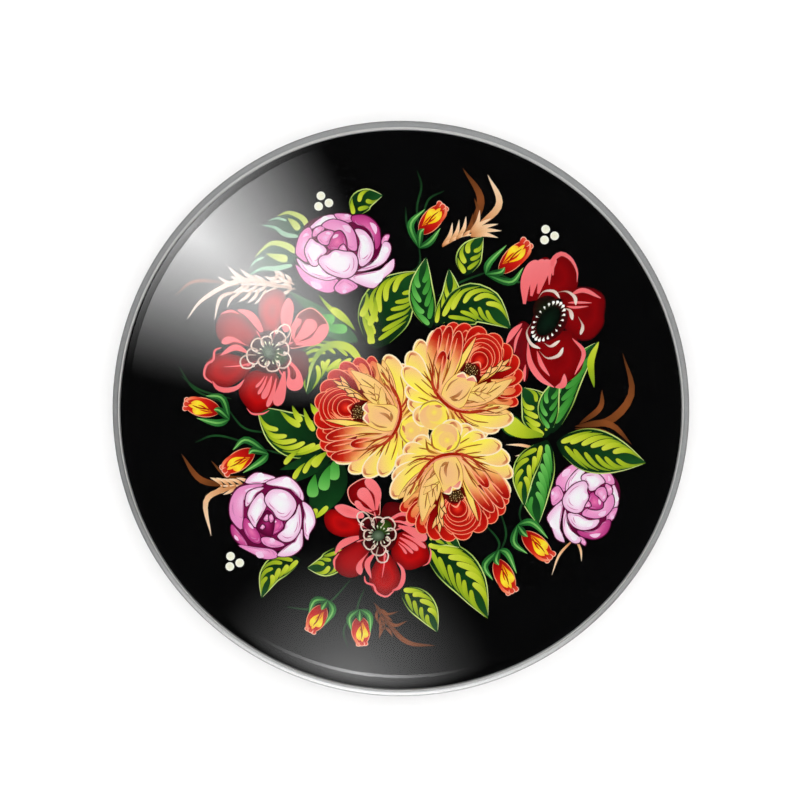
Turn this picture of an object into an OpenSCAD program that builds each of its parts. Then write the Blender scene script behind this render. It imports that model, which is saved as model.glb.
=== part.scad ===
// Round domed glass cabochon with a folk-art bouquet printed on black behind it.
// Origin at the centre of the flat back, +Z up through the top of the dome.
// Everything is in millimetres, and the layers are listed from the dome down to the back.

/* [Glass] */
// Diameter of the glass
glass_d = 25; // [24:0.5:30]
// Height from the flat back of the part to the top of the dome
total_h = 6.5; // [5:0.1:8]
// Radius that rounds the dome into its upright edge
shoulder_r = 2.3; // [1:0.1:2.6]
// Height of the upright edge, chamfer included
edge_h = 0.6; // [0.5:0.05:1.2]
// Chamfer round the glass's flat underside
edge_chamfer = 0.3; // [0.1:0.05:0.4]

/* [Layers] */
// Thickness of the clear glue between glass and print
glue_t = 0.1; // [0.05:0.01:0.2]
// Thickness of the printed ink coat
ink_t = 0.05; // [0.02:0.01:0.06]
// Thickness of the photo paper
paper_t = 0.2; // [0.15:0.01:0.3]
// Thickness of the sealing coat on the paper's back
coat_t = 0.05; // [0.02:0.01:0.1]

/* [Picture] */
// Diameter of the printed disc
picture_d = 22.7; // [21.5:0.1:23]
// Clear width left between the picture and the edge of its paper
glue_rim = 0.1; // [0:0.05:0.2]
// Size of the bouquet beside its normal size
bouquet_scale = 1; // [0.9:0.01:1]

/* [Hidden] */
$fn = 64;

// Heights of the layers above the flat back
paper_z = coat_t;
ink_z = paper_z + paper_t;
glue_z = ink_z + ink_t;
glass_z = glue_z + glue_t;

// The dome is a sphere that meets the shoulder smoothly
glass_r = glass_d / 2;
shoulder_x = glass_r - shoulder_r;
edge_z = glass_z + edge_h;
rise = total_h - edge_z;
dome_r = (pow(shoulder_x, 2) + pow(rise, 2) - pow(shoulder_r, 2)) / (2 * (rise - shoulder_r));
dome_z = total_h - dome_r;
meet_x = shoulder_x * dome_r / (dome_r - shoulder_r);
meet_z = dome_z + sqrt(pow(dome_r, 2) - pow(meet_x, 2));

// Seen from straight above, the glass magnifies the print. A ray that enters the dome at
// radius r is bent inwards, so what is seen at r is printed at under_glass(r).
glass_index = 1.5;
function dome_slope(r) = r < meet_x ? asin(r / dome_r) : asin(min((r - shoulder_x) / shoulder_r, 1));
function dome_height(r) = r < meet_x ? dome_z + sqrt(pow(dome_r, 2) - r * r)
                                     : edge_z + shoulder_r * cos(dome_slope(r));
function under_glass(r) = r - (dome_height(r) - glue_z)
                              * tan(dome_slope(r) - asin(sin(dome_slope(r)) / glass_index));
function printed_at(p) = norm(p) == 0 ? p : p * under_glass(norm(p)) / norm(p);
// How much smaller than it looks a motif near p is printed
function print_scale(p) = under_glass(norm(p) + 0.5) - under_glass(norm(p) - 0.5);

// Places and sizes of the motifs as they are seen through the dome
dahlias = [[-1.6, -0.2], [3, 1.6], [2.2, -3.6]];
dahlia_r = 2.3;
peonies = [[-2.6, 6.9], [-5.7, -4.6], [7.9, -4.1]];
peony_r = [1.9, 1.8, 1.6];
poppies = [[-5.8, 2.6], [6.6, 3.9], [-0.9, -5.5]];
poppy_turn = [20, 75, 10];
poppy_r = 2.2;
// Each bud: its foot and its tip
buds = [[[0.8, 7.4], [1.9, 9]], [[4, 6.1], [5.6, 7.2]], [[-7.7, 0.1], [-9.5, 0.2]],
        [[-6.1, -1.7], [-7.9, -2.6]], [[5.3, -5.2], [6.6, -6.4]], [[4.1, -6.3], [4.8, -7.9]],
        [[-3.2, -8.4], [-4, -9.6]], [[-1.9, -8.7], [-1.8, -10.1]]];
bud_w = 0.8;
// Each leaf: its foot, its tip and its width
leaves = [
    [[-4.3, 8], [-6, 8.4], 0.8], [[-4.5, 6.7], [-6.6, 6.3], 1], [[-2, 8.8], [-0.8, 9.5], 0.9],
    [[-2, 3.6], [-4.4, 4.8], 1.2], [[-1.5, 3.2], [0.9, 5.6], 1.9], [[-2.2, 2], [-4.2, 1.4], 1.9],
    [[1.2, 3.8], [1, 6.3], 1.2], [[1.6, 4], [4.7, 3.7], 1.7], [[2.6, 5.9], [3.5, 7.5], 1],
    [[-3.9, -1.5], [-6.1, 0.2], 1.6], [[-2.9, -2], [-5.2, -2.6], 1], [[-2.6, -2.6], [-3.6, -4.6], 1.5],
    [[5.1, 0.7], [6.4, -0.9], 1.4], [[4.5, -0.4], [6.2, -1.2], 0.9], [[6.8, -1], [8.6, 3], 1.3],
    [[6.8, -1.3], [10.9, -2.3], 1.9], [[6.3, -1.4], [6.2, -5.2], 1.6], [[6.6, 1.3], [6.9, -0.8], 1],
    [[-2.7, -6], [-4, -7], 1], [[-4.4, -6.5], [-6.1, -8.2], 1], [[1.1, -6], [3.7, -9], 1.7],
    [[0, -8], [1.6, -9.6], 1]];
// Each blade of a feathery spray: its foot, its tip and its width
sprays = [
    [[-4.8, 5.7], [-8, 6.3], 0.6], [[-5.4, 5.7], [-9.6, 3.4], 0.5], [[1.9, 7.2], [2.7, 8.9], 0.5],
    [[2.9, 7.7], [4, 10.2], 0.5], [[3.2, 8], [2.7, 10.5], 0.4], [[3, 7.7], [4.4, 7.9], 0.5],
    [[-7.3, -3.3], [-9.5, -2.1], 0.5], [[-7.6, -3.5], [-8.3, -5.5], 0.5], [[7, -0.8], [10, 2.3], 0.6],
    [[7.4, -0.7], [10, -1.5], 0.4], [[-0.9, -8.7], [1.4, -10.2], 0.4], [[8.1, -5.7], [7.9, -6.6], 0.3]];
// Middle of each trio of dots
dot_trios = [[-3.4, 9.1], [6.4, 7.65], [-7.3, -6.6]];
dot_d = 0.38;
dot_spread = 0.28;

// A leaf or blade outline between two seen points: where two equal circles overlap
module blade(foot, tip, width) {
    from = printed_at(foot) * bouquet_scale;
    to = printed_at(tip) * bouquet_scale;
    length = norm(to - from);
    half_w = width * print_scale((foot + tip) / 2) * bouquet_scale / 2;
    arc_r = (pow(length / 2, 2) + half_w * half_w) / (2 * half_w);
    translate((from + to) / 2)
        rotate(atan2(to.y - from.y, to.x - from.x))
            intersection() {
                translate([0, arc_r - half_w]) circle(arc_r);
                translate([0, half_w - arc_r]) circle(arc_r);
            }
}

// A round flower outline: a disc with a ring of petal tips
module rosette(centre, r, petals, turn = 0) {
    small = print_scale(centre) * bouquet_scale;
    petal_r = r * small * sin(180 / petals) * 0.95;
    ring_r = r * small - petal_r;
    translate(printed_at(centre) * bouquet_scale) {
        circle(ring_r);
        for (i = [0:petals - 1])
            rotate(turn + i * 360 / petals) translate([ring_r, 0]) circle(petal_r);
    }
}

// Outlines of each family of motifs
module leaf_shapes() for (l = leaves) blade(l[0], l[1], l[2]);
module spray_shapes() for (s = sprays) blade(s[0], s[1], s[2]);
module bud_shapes() for (b = buds) blade(b[0], b[1], bud_w);
module peony_shapes() for (i = [0:2]) rosette(peonies[i], peony_r[i], 10);
module poppy_shapes() for (i = [0:2]) rosette(poppies[i], poppy_r, 5, poppy_turn[i]);
module dahlia_shapes() for (d = dahlias) rosette(d, dahlia_r, 14);
module dot_shapes() for (t = dot_trios)
    for (turn = [0, 120, 240])
        translate(printed_at(t) + [dot_spread * cos(turn), dot_spread * sin(turn)])
            circle(dot_d / 2);

// The ink coat is one flat layer, so each family is cut away where a later one is printed
module ink() translate([0, 0, ink_z]) linear_extrude(ink_t) children();
module disc(d, z, t) translate([0, 0, z]) cylinder(d = d, h = t);

module glass_section() {
    intersection() {
        translate([0, dome_z]) circle(dome_r);
        translate([0, meet_z]) square([meet_x, rise]);
    }
    intersection() {
        translate([shoulder_x, edge_z]) circle(shoulder_r);
        translate([0, edge_z]) square([glass_r, rise]);
    }
    polygon([[0, glass_z], [glass_r - edge_chamfer, glass_z], [glass_r, glass_z + edge_chamfer],
             [glass_r, edge_z], [shoulder_x, edge_z], [meet_x, meet_z], [0, meet_z]]);
}

module glass_dome() color([0.85, 0.93, 0.92, 0.35]) rotate_extrude() glass_section();
module glue_film() color([0.95, 0.95, 0.9, 0.35]) disc(picture_d + 2 * glue_rim, glue_z, glue_t);

module black_ground() color([0.02, 0.02, 0.03]) ink() difference() {
    circle(d = picture_d);
    leaf_shapes();
    spray_shapes();
    bud_shapes();
    peony_shapes();
    poppy_shapes();
    dahlia_shapes();
    dot_shapes();
}
module spray_ink() color([0.85, 0.62, 0.4]) ink() difference() {
    spray_shapes();
    leaf_shapes();
    bud_shapes();
    peony_shapes();
    poppy_shapes();
}
module leaf_ink() color([0.35, 0.55, 0.12]) ink() difference() {
    leaf_shapes();
    bud_shapes();
    peony_shapes();
    poppy_shapes();
    dahlia_shapes();
}
module bud_ink() color([0.85, 0.15, 0.05]) ink() difference() {
    bud_shapes();
    peony_shapes();
    poppy_shapes();
}
module peony_ink() color([0.9, 0.6, 0.8]) ink() peony_shapes();
module poppy_ink() color([0.6, 0.05, 0.08]) ink() difference() {
    poppy_shapes();
    dahlia_shapes();
}
module dahlia_ink() color([0.98, 0.75, 0.25]) ink() dahlia_shapes();
module dot_ink() color([0.97, 0.97, 0.82]) ink() dot_shapes();

module picture_paper() color("white") disc(picture_d, paper_z, paper_t);
module back_coat() color([0.9, 0.9, 0.88]) disc(picture_d, 0, coat_t);

glass_dome();
glue_film();
black_ground();
leaf_ink();
spray_ink();
bud_ink();
peony_ink();
poppy_ink();
dahlia_ink();
dot_ink();
picture_paper();
back_coat();
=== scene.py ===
"""A round domed glass cabochon over a printed folk-art bouquet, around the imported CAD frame."""
import math

import bpy
import numpy as np
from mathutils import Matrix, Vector


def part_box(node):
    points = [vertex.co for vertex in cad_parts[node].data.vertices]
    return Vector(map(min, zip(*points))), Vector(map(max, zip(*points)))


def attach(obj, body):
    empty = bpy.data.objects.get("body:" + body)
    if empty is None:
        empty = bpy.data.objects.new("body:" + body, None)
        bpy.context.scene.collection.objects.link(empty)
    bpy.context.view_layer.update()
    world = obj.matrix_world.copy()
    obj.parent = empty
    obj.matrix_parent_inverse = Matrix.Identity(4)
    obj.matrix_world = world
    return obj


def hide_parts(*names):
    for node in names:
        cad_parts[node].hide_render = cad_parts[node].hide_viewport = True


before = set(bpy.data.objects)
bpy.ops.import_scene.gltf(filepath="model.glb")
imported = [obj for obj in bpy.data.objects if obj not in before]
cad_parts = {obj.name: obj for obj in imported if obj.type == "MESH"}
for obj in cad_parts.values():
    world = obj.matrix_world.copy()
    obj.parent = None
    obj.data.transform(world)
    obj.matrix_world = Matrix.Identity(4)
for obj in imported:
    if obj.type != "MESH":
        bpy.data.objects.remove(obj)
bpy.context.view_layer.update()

MM = 0.001

# ---------------------------------------------------------------------------------------------
# The layers, read from the CAD frame, in millimetres
# ---------------------------------------------------------------------------------------------


def mm_box(node):
    """The lowest and highest corner of a CAD node, in millimetres."""
    low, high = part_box(node)
    return np.array(low) / MM, np.array(high) / MM


glass_low, glass_high = mm_box("glass_dome")
ink_low, ink_high = mm_box("black_ground")
glue_low, glue_high = mm_box("glue_film")
GLASS_R = glass_high[0]
GLASS_Z = glass_low[2]
TOP_Z = glass_high[2]
INK_Z = ink_low[2]
GLUE_Z = glue_low[2]
GLUE_R = glue_high[0]
PICTURE_R = ink_high[0]

# The dome is a sphere that meets a rounded shoulder smoothly, as in the CAD source
SHOULDER_R = 2.3
EDGE_H = 0.6
CHAMFER = 0.3
SHOULDER_X = GLASS_R - SHOULDER_R
EDGE_Z = GLASS_Z + EDGE_H
RISE = TOP_Z - EDGE_Z
DOME_R = (SHOULDER_X**2 + RISE**2 - SHOULDER_R**2) / (2 * (RISE - SHOULDER_R))
DOME_Z = TOP_Z - DOME_R
MEET_X = SHOULDER_X * DOME_R / (DOME_R - SHOULDER_R)
GLASS_INDEX = 1.5


def dome(r):
    """Height and slope of the glass at radius r."""
    on_cap = r < MEET_X
    cap_slope = np.arcsin(np.minimum(r / DOME_R, 1))
    side_slope = np.arcsin(np.clip((r - SHOULDER_X) / SHOULDER_R, -1, 1))
    cap_z = DOME_Z + DOME_R * np.cos(cap_slope)
    side_z = EDGE_Z + SHOULDER_R * np.cos(side_slope)
    return np.where(on_cap, cap_z, side_z), np.where(on_cap, cap_slope, side_slope)


# ---------------------------------------------------------------------------------------------
# Camera
# ---------------------------------------------------------------------------------------------
LENS = 100
SENSOR = 36
FRAME_W = 35.0                      # width of the view at the part
AIM = Vector((-0.04, 0.32, 0.3)) * MM
TILT = math.radians(4.5)            # off straight down, from the front
UP = np.array([0, math.cos(TILT), math.sin(TILT)])
TOWARDS_CAMERA = np.array([0, -math.sin(TILT), math.cos(TILT)])
DISTANCE = FRAME_W * LENS / SENSOR
PICTURE_SHIFT = (0.04, -0.45)       # the middle of the picture as seen, from the middle of the view
RAY_ROUNDS = 20                     # to find where a ray meets the dome
OUTERMOST = 0.99                    # no ray is followed beyond this share of the glass's radius


def printed_at(points):
    """The glass bends and magnifies the print. Seen points become the points of the print that
    show there: each one's ray from the camera is bent by the dome and followed down to the ink."""
    points = np.asarray(points, float)
    aim = np.array(AIM) / MM
    eye = aim + DISTANCE * TOWARDS_CAMERA
    right = points[..., :1] + PICTURE_SHIFT[0]
    up = points[..., 1:] + PICTURE_SHIFT[1]
    ray = aim + right * np.array([1, 0, 0]) + up * UP - eye
    ray /= np.linalg.norm(ray, axis=-1, keepdims=True)
    z = np.full(points.shape[:-1], TOP_Z)
    for _ in range(RAY_ROUNDS):
        hit = eye + ray * ((z - eye[2]) / ray[..., 2])[..., None]
        r = np.minimum(np.hypot(hit[..., 0], hit[..., 1]), GLASS_R * OUTERMOST)
        z, slope = dome(r)
    outward = hit[..., :2] / np.maximum(r, 1e-9)[..., None] * np.sin(slope)[..., None]
    normal = np.concatenate([outward, np.cos(slope)[..., None]], axis=-1)
    facing = -(ray * normal).sum(axis=-1, keepdims=True)
    bend = facing / GLASS_INDEX - np.sqrt(1 - (1 - facing**2) / GLASS_INDEX**2)
    inside = ray / GLASS_INDEX + bend * normal
    return (hit + inside * ((GLUE_Z - z) / inside[..., 2])[..., None])[..., :2]


def make_camera():
    camera = bpy.data.objects.new("camera", bpy.data.cameras.new("camera"))
    camera.data.lens = LENS
    camera.data.sensor_width = SENSOR
    camera.data.clip_start = 0.001
    camera.data.clip_end = 5
    camera.location = AIM + DISTANCE * MM * Vector(TOWARDS_CAMERA)
    camera.rotation_euler = (TILT, 0, 0)
    bpy.context.scene.collection.objects.link(camera)
    bpy.context.scene.camera = camera


make_camera()
bpy.context.scene.view_settings.view_transform = "Standard"

# ---------------------------------------------------------------------------------------------
# Materials
# ---------------------------------------------------------------------------------------------


def hex_rgb(colour):
    """A colour such as "c81414" as red, green and blue from 0 to 1."""
    return np.array([int(colour[i:i + 2], 16) / 255 for i in (0, 2, 4)])


def linear(rgb):
    """Screen colours as the linear light they stand for."""
    return np.where(rgb < 0.04045, rgb / 12.92, ((np.maximum(rgb, 0) + 0.055) / 1.055) ** 2.4)


def new_material(name):
    """An empty material, its node tree and the surface socket of its output."""
    material = bpy.data.materials.new(name)
    material.use_nodes = True
    tree = material.node_tree
    tree.nodes.clear()
    return material, tree, tree.nodes.new("ShaderNodeOutputMaterial").inputs["Surface"]


def add_node(tree, kind, **values):
    """A new node with these values set on its sockets, an underscore for each space in a name."""
    node = tree.nodes.new("ShaderNode" + kind)
    for name, value in values.items():
        node.inputs[name.replace("_", " ")].default_value = value
    return node


def glass_material(name, tint, roughness, let_through=0.965):
    """Glass that lets lamps through to what is behind it, here as a share of their light."""
    material, tree, surface = new_material(name)
    glass = add_node(tree, "BsdfPrincipled", Base_Color=(*tint, 1), Transmission_Weight=1,
                     Roughness=roughness, IOR=GLASS_INDEX)
    clear = add_node(tree, "BsdfTransparent", Color=(let_through, let_through, let_through, 1))
    path = add_node(tree, "LightPath")
    mix = add_node(tree, "MixShader")
    tree.links.new(path.outputs["Is Shadow Ray"], mix.inputs["Fac"])
    tree.links.new(glass.outputs["BSDF"], mix.inputs[1])
    tree.links.new(clear.outputs["BSDF"], mix.inputs[2])
    tree.links.new(mix.outputs["Shader"], surface)
    return material


def contact_material():
    """Where glue wets the glass there is no air between them, so light goes straight through."""
    material, tree, surface = new_material("wetted_face")
    clear = add_node(tree, "BsdfTransparent", Color=(1, 1, 1, 1))
    tree.links.new(clear.outputs["BSDF"], surface)
    return material


def mottled_material(name, low, high, scale, roughness, bump, specular=0.5):
    """Paper, lacquer or paint: a colour that wanders between two near ones, and a fine bump."""
    material, tree, surface = new_material(name)
    shader = add_node(tree, "BsdfPrincipled", Roughness=roughness, Specular_IOR_Level=specular)
    noise = add_node(tree, "TexNoise", Scale=scale, Detail=4)
    ramp = add_node(tree, "ValToRGB")
    ramp.color_ramp.elements[0].color = (*linear(hex_rgb(low)), 1)
    ramp.color_ramp.elements[1].color = (*linear(hex_rgb(high)), 1)
    height = add_node(tree, "Bump", Strength=bump, Distance=0.02 * MM)
    tree.links.new(noise.outputs["Fac"], ramp.inputs["Fac"])
    tree.links.new(noise.outputs["Fac"], height.inputs["Height"])
    tree.links.new(ramp.outputs["Color"], shader.inputs["Base Color"])
    tree.links.new(height.outputs["Normal"], shader.inputs["Normal"])
    tree.links.new(shader.outputs["BSDF"], surface)
    return material


def ink_material(name):
    """Printed ink: each stroke's own colours, with the faint mottle of a print on photo paper."""
    material, tree, surface = new_material(name)
    shader = add_node(tree, "BsdfPrincipled", Roughness=0.6, Specular_IOR_Level=0)
    paint = add_node(tree, "Attribute")
    paint.attribute_name = "paint"
    noise = add_node(tree, "TexNoise", Scale=4000, Detail=3)
    spread = add_node(tree, "MapRange", To_Min=0.9, To_Max=1.06)
    tint = add_node(tree, "VectorMath")
    tint.operation = "SCALE"
    tree.links.new(noise.outputs["Fac"], spread.inputs["Value"])
    tree.links.new(paint.outputs["Color"], tint.inputs[0])
    tree.links.new(spread.outputs["Result"], tint.inputs["Scale"])
    tree.links.new(tint.outputs["Vector"], shader.inputs["Base Color"])
    tree.links.new(shader.outputs["BSDF"], surface)
    return material


CLEAR_GLASS = glass_material("clear_glass", (0.97, 0.985, 0.98), 0.0)
# The ground ring's roughness is its real frosting; its dark grey tint is painted shade that darkens the rim
# round the glass's edge.
GROUND_GLASS_PAINTED_DARK = glass_material("ground_glass_edge_painted_dark", (0.24, 0.25, 0.27), 0.4, let_through=0.88)
# The glue rim's roughness is its dull set finish; its grey tint is painted shade that darkens the bright
# ring seen through it.
GLUE_EDGE = glass_material("squeezed_glue_edge", (0.7, 0.71, 0.71), 0.3)
WETTED = contact_material()
INK = ink_material("printed_ink")

# ---------------------------------------------------------------------------------------------
# Meshes of revolution: the glass, the glue, the floor
# ---------------------------------------------------------------------------------------------
TURN_STEPS = 256
SHOULDER_STEPS = 40
CAP_STEPS = 90


def lathe(name, profile, materials, band_materials=(), smooth_from=None):
    """A closed solid of revolution. The profile runs from the axis to the axis, in millimetres, and
    makes one band between each two of its points. band_materials numbers the first bands'
    materials; the rest take the first material. Bands are smooth from smooth_from on."""
    profile = np.array(profile, float)
    rings = profile[1:-1]
    angle = np.arange(TURN_STEPS) * 2 * math.pi / TURN_STEPS
    ring_points = np.stack([rings[:, None, 0] * np.cos(angle), rings[:, None, 0] * np.sin(angle),
                            np.repeat(rings[:, 1:], TURN_STEPS, axis=1)], axis=-1).reshape(-1, 3)
    ends = [(0, 0, profile[0, 1]), (0, 0, profile[-1, 1])]
    points = np.concatenate([ring_points, ends])
    first, last = len(ring_points), len(ring_points) + 1
    faces, bands = [], []
    for step in range(TURN_STEPS):
        after = (step + 1) % TURN_STEPS
        faces.append((first, after, step))
        bands.append(0)
        for ring in range(len(rings) - 1):
            base, above = ring * TURN_STEPS, (ring + 1) * TURN_STEPS
            faces.append((base + step, base + after, above + after, above + step))
            bands.append(ring + 1)
        top = (len(rings) - 1) * TURN_STEPS
        faces.append((last, top + step, top + after))
        bands.append(len(rings))
    mesh = bpy.data.meshes.new(name)
    mesh.from_pydata([tuple(p * MM) for p in points], [], faces)
    for material in materials:
        mesh.materials.append(material)
    if band_materials:
        numbers = [band_materials[b] if b < len(band_materials) else 0 for b in bands]
        mesh.polygons.foreach_set("material_index", numbers)
    if smooth_from is not None:
        mesh.polygons.foreach_set("use_smooth", [b >= smooth_from for b in bands])
    mesh.update()
    piece = bpy.data.objects.new(name, mesh)
    bpy.context.scene.collection.objects.link(piece)
    return piece


def arc(centre, radius, start, stop, steps):
    """Points on an arc, with angles from the vertical, the stop included."""
    angles = np.linspace(start, stop, steps)
    return [(centre[0] + radius * math.sin(a), centre[1] + radius * math.cos(a)) for a in angles]


def make_glass():
    """The dome. The glue wets it underneath; the flat ring round that and the chamfer are ground, and their
    dark grey tint is painted shade on the rim.
    """
    meet = math.asin(MEET_X / DOME_R)
    profile = [(0, GLASS_Z), (GLUE_R, GLASS_Z), (GLASS_R - CHAMFER, GLASS_Z), (GLASS_R, GLASS_Z + CHAMFER)]
    profile += arc((SHOULDER_X, EDGE_Z), SHOULDER_R, math.pi / 2, meet, SHOULDER_STEPS)
    profile += arc((0, DOME_Z), DOME_R, meet, 0, CAP_STEPS)[1:]
    glass = lathe("glass_dome_clear", profile, [CLEAR_GLASS, WETTED, GROUND_GLASS_PAINTED_DARK], (1, 2, 2), smooth_from=4)
    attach(glass, "root")
    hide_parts("glass_dome")


def make_glue():
    """The film is wetted above and below; its rim, squeezed out past the paper, has set dull, and its grey
    tint is painted shade that darkens the ring seen through it.
    """
    low, high = glue_low[2], glue_high[2]
    profile = [(0, low), (PICTURE_R, low), (GLUE_R, low), (GLUE_R, high), (0, high)]
    glue = lathe("glue_film_clear", profile, [CLEAR_GLASS, WETTED, GLUE_EDGE], (1, 2, 0, 1))
    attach(glue, "root")
    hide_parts("glue_film")


def finish_backing():
    """The paper and the coat under it keep their CAD shapes and get their own finishes."""
    paper = mottled_material("photo_paper_stock", "f1efe9", "f8f7f3", 3000, 0.75, 0.3)
    coat = mottled_material("sealing_coat_lacquer", "d9d9d6", "e6e6e3", 1200, 0.45, 0.4)
    for node, material in (("picture_paper", paper), ("back_coat", coat)):
        for material_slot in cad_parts[node].material_slots:
            material_slot.material = material


make_glass()
make_glue()
finish_backing()

# ---------------------------------------------------------------------------------------------
# Brush strokes. Places are in millimetres as seen through the dome, from the picture's centre.
# ---------------------------------------------------------------------------------------------
# How a stroke swells from its start (0) to its end (1): sin(pi * t ** late) ** plump
SHAPES = {"brush": (1, 0.8), "line": (1, 0.3), "drop": (2.2, 0.75), "comma": (0.5, 0.8),
          "leaf": (0.8, 0.9), "tongue": (1.3, 0.65), "oval": (1, 0.5)}
BLUNT_FROM = 0.76                   # where a blunt petal starts to round off
LEAST_HALF_W = 0.004                # a stroke's ends stay this wide, so that its mesh stays sound
BLOB_STEPS = 36
DISC_STEPS = 24


def turned(points, degrees):
    """Points turned about the origin."""
    c, s = math.cos(math.radians(degrees)), math.sin(math.radians(degrees))
    x, y = points[..., 0], points[..., 1]
    return np.stack([x * c - y * s, x * s + y * c], axis=-1)


class Picture:
    """The strokes of one motif, in the order they are painted, with the motif's own place."""

    def __init__(self, name, node, place=(0, 0), turn=0, size=1):
        self.name, self.node = name, node
        self.place, self.turn, self.size = np.array(place, float), turn, size
        self.strokes = []

    def lay(self, points, colours, closed=False):
        """Adds one stroke: a grid of points, rows along it and columns across, and their colours.
        A closed one has its first row on one point and joins its last column to its first."""
        placed = self.place + turned(points, self.turn) * self.size
        self.strokes.append((placed, np.broadcast_to(colours, points.shape[:2] + (3,)), closed))


def ramp(colours, t):
    """The colours at each t, blended along a list of them. One colour may stand alone."""
    stops = np.array([hex_rgb(c) for c in ([colours] if isinstance(colours, str) else colours)])
    places = np.linspace(0, 1, len(stops))
    return np.stack([np.interp(t, places, stops[:, c]) for c in range(3)], axis=-1)


def smooth(points, count, closed=False):
    """A smooth curve through a few points, as count points, evenly spaced between each pair."""
    points = np.asarray(points, float)
    if closed:
        padded = np.concatenate([points[-1:], points, points[:2]])
    else:
        padded = np.concatenate([2 * points[:1] - points[1:2], points, 2 * points[-1:] - points[-2:-1]])
    spans = len(padded) - 3
    at = np.linspace(0, spans, count, endpoint=not closed)
    span = np.minimum(at.astype(int), spans - 1)
    u = (at - span)[:, None]
    a, b, c, d = (padded[span + k] for k in range(4))
    return 0.5 * (2 * b + (c - a) * u + (2 * a - 5 * b + 4 * c - d) * u**2 + (3 * b - a - 3 * c + d) * u**3)


def normals(line):
    """Unit vectors to the left of a line of points."""
    along = np.gradient(line, axis=0)
    along /= np.maximum(np.linalg.norm(along, axis=1, keepdims=True), 1e-9)
    return np.stack([-along[:, 1], along[:, 0]], axis=-1)


def swell(shape, t):
    """How wide a stroke is at each t along it, from 0 to 1. A petal widens to a blunt round end,
    and the rim under it only shows round that end."""
    if shape in ("petal", "rim"):
        widen = np.minimum(t / BLUNT_FROM, 1)
        round_off = np.clip((t - BLUNT_FROM) / (1 - BLUNT_FROM), 0, 1)
        width = (0.2 + 0.8 * widen**1.2 * (1.6 - 0.6 * widen)) * np.sqrt(1 - round_off**2)
        return width * (np.clip(t / 0.62, 0.5, 1) if shape == "rim" else 1)
    late, plump = SHAPES[shape]
    return np.maximum(np.sin(math.pi * t**late), 0.0)**plump


def stroke(picture, points, width, colours, shape="brush", side=None, count=16):
    """One pull of the brush. side is a second list of colours, for its right edge."""
    line = smooth(points, count)
    even = np.linspace(0, 1, count)
    t = 0.5 - 0.5 * np.cos(math.pi * even)      # closer together towards the ends
    line = np.stack([np.interp(t, even, line[:, k]) for k in (0, 1)], axis=-1)
    half = width / 2 * swell(shape, t) + LEAST_HALF_W
    across = np.linspace(1, -1, 3)
    grid = line[:, None] + normals(line)[:, None] * (half[:, None] * across)[..., None]
    left = ramp(colours, t)
    right = ramp(side, t) if side else left
    picture.lay(grid, np.stack([left, (left + right) / 2, right], axis=1))


def bowed(start, end, bow):
    """Start, middle and end of a stroke, the middle off the straight line by bow times its length."""
    start, end = np.array(start, float), np.array(end, float)
    reach = end - start
    return [start, (start + end) / 2 + bow * np.array([-reach[1], reach[0]]), end]


def strokes(picture, lines, colours, shape, count=16):
    """Several strokes of one kind, each given as its points and its width."""
    for points, width in lines:
        stroke(picture, points, width, colours, shape, count=count)


def bows(picture, arcs, colours, shape):
    """Several bowed strokes of one kind, each given as its start, end, bow and width."""
    for start, end, bow, width in arcs:
        stroke(picture, bowed(start, end, bow), width, colours, shape)


def heading(start, end):
    """Unit vectors from start towards end, and to the left of that."""
    ahead = (end - start) / max(np.linalg.norm(end - start), 1e-9)
    return ahead, np.array([-ahead[1], ahead[0]])


def petal(picture, start, end, width, fill, rim=None, rim_w=0.05, bow=0.0, shape="petal", side=None):
    """A stroke over a slightly larger one that shows round it as its rim."""
    line = bowed(start, end, bow)
    if rim:
        ahead, _ = heading(line[0], line[2])
        outer = [line[0], line[1], line[2] + ahead * rim_w]
        stroke(picture, outer, width + 2 * rim_w, rim, "rim" if shape == "petal" else shape)
    stroke(picture, line, width, fill, shape, side)


def blob(picture, outline, colours, rim=None, rim_w=0.05, heart=None):
    """A filled shape with a smooth outline, coloured from its heart out to its edge."""
    edge = smooth(outline, BLOB_STEPS, closed=True)
    middle = np.mean(edge, axis=0) if heart is None else np.array(heart, float)
    if rim:
        out = edge - middle
        out /= np.maximum(np.linalg.norm(out, axis=1, keepdims=True), 1e-9)
        fan(picture, middle, edge + out * rim_w, rim)
    fan(picture, middle, edge, colours)


def fan(picture, middle, edge, colours, rings=4):
    """A closed stroke from its middle out to its edge."""
    t = np.linspace(0, 1, rings + 1)
    grid = middle + (edge[None] - middle) * t[:, None, None]
    picture.lay(grid, ramp(colours, t)[:, None], closed=True)


def disc(picture, centre, radius, colours, stretch=1, turn=0, rim=None, rim_w=0.05):
    """A round or oval spot."""
    centre = np.array(centre, float)
    angle = np.arange(DISC_STEPS) * 2 * math.pi / DISC_STEPS
    for grow, fill in ([(rim_w, rim)] if rim else []) + [(0, colours)]:
        x = (radius * stretch + grow) * np.cos(angle)
        y = (radius + grow) * np.sin(angle)
        fan(picture, centre, centre + turned(np.stack([x, y], axis=-1), turn), fill, rings=3)


def along(start, end, t):
    """The point a share t of the way from start to end."""
    return np.array(start) + (np.array(end) - np.array(start)) * t


# ---------------------------------------------------------------------------------------------
# Dahlias: a red ball of petals round an eye, and a fan of yellow petals. The eye is the origin
# and the ball lies to its left.
# ---------------------------------------------------------------------------------------------
YELLOW = ["f0a850", "fcd060", "ffee44", "fff050", "fcdc80"]
PEACH = ["f0a458", "fcc868", "fee868", "fcd080", "f8bc84"]
PEACH_RIM = "fee8c0"
VEIN = "8c4212"
RED = ["400202", "6c0404", "a40a08", "d01c10"]
RED_RIM = "f89874"


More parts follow.
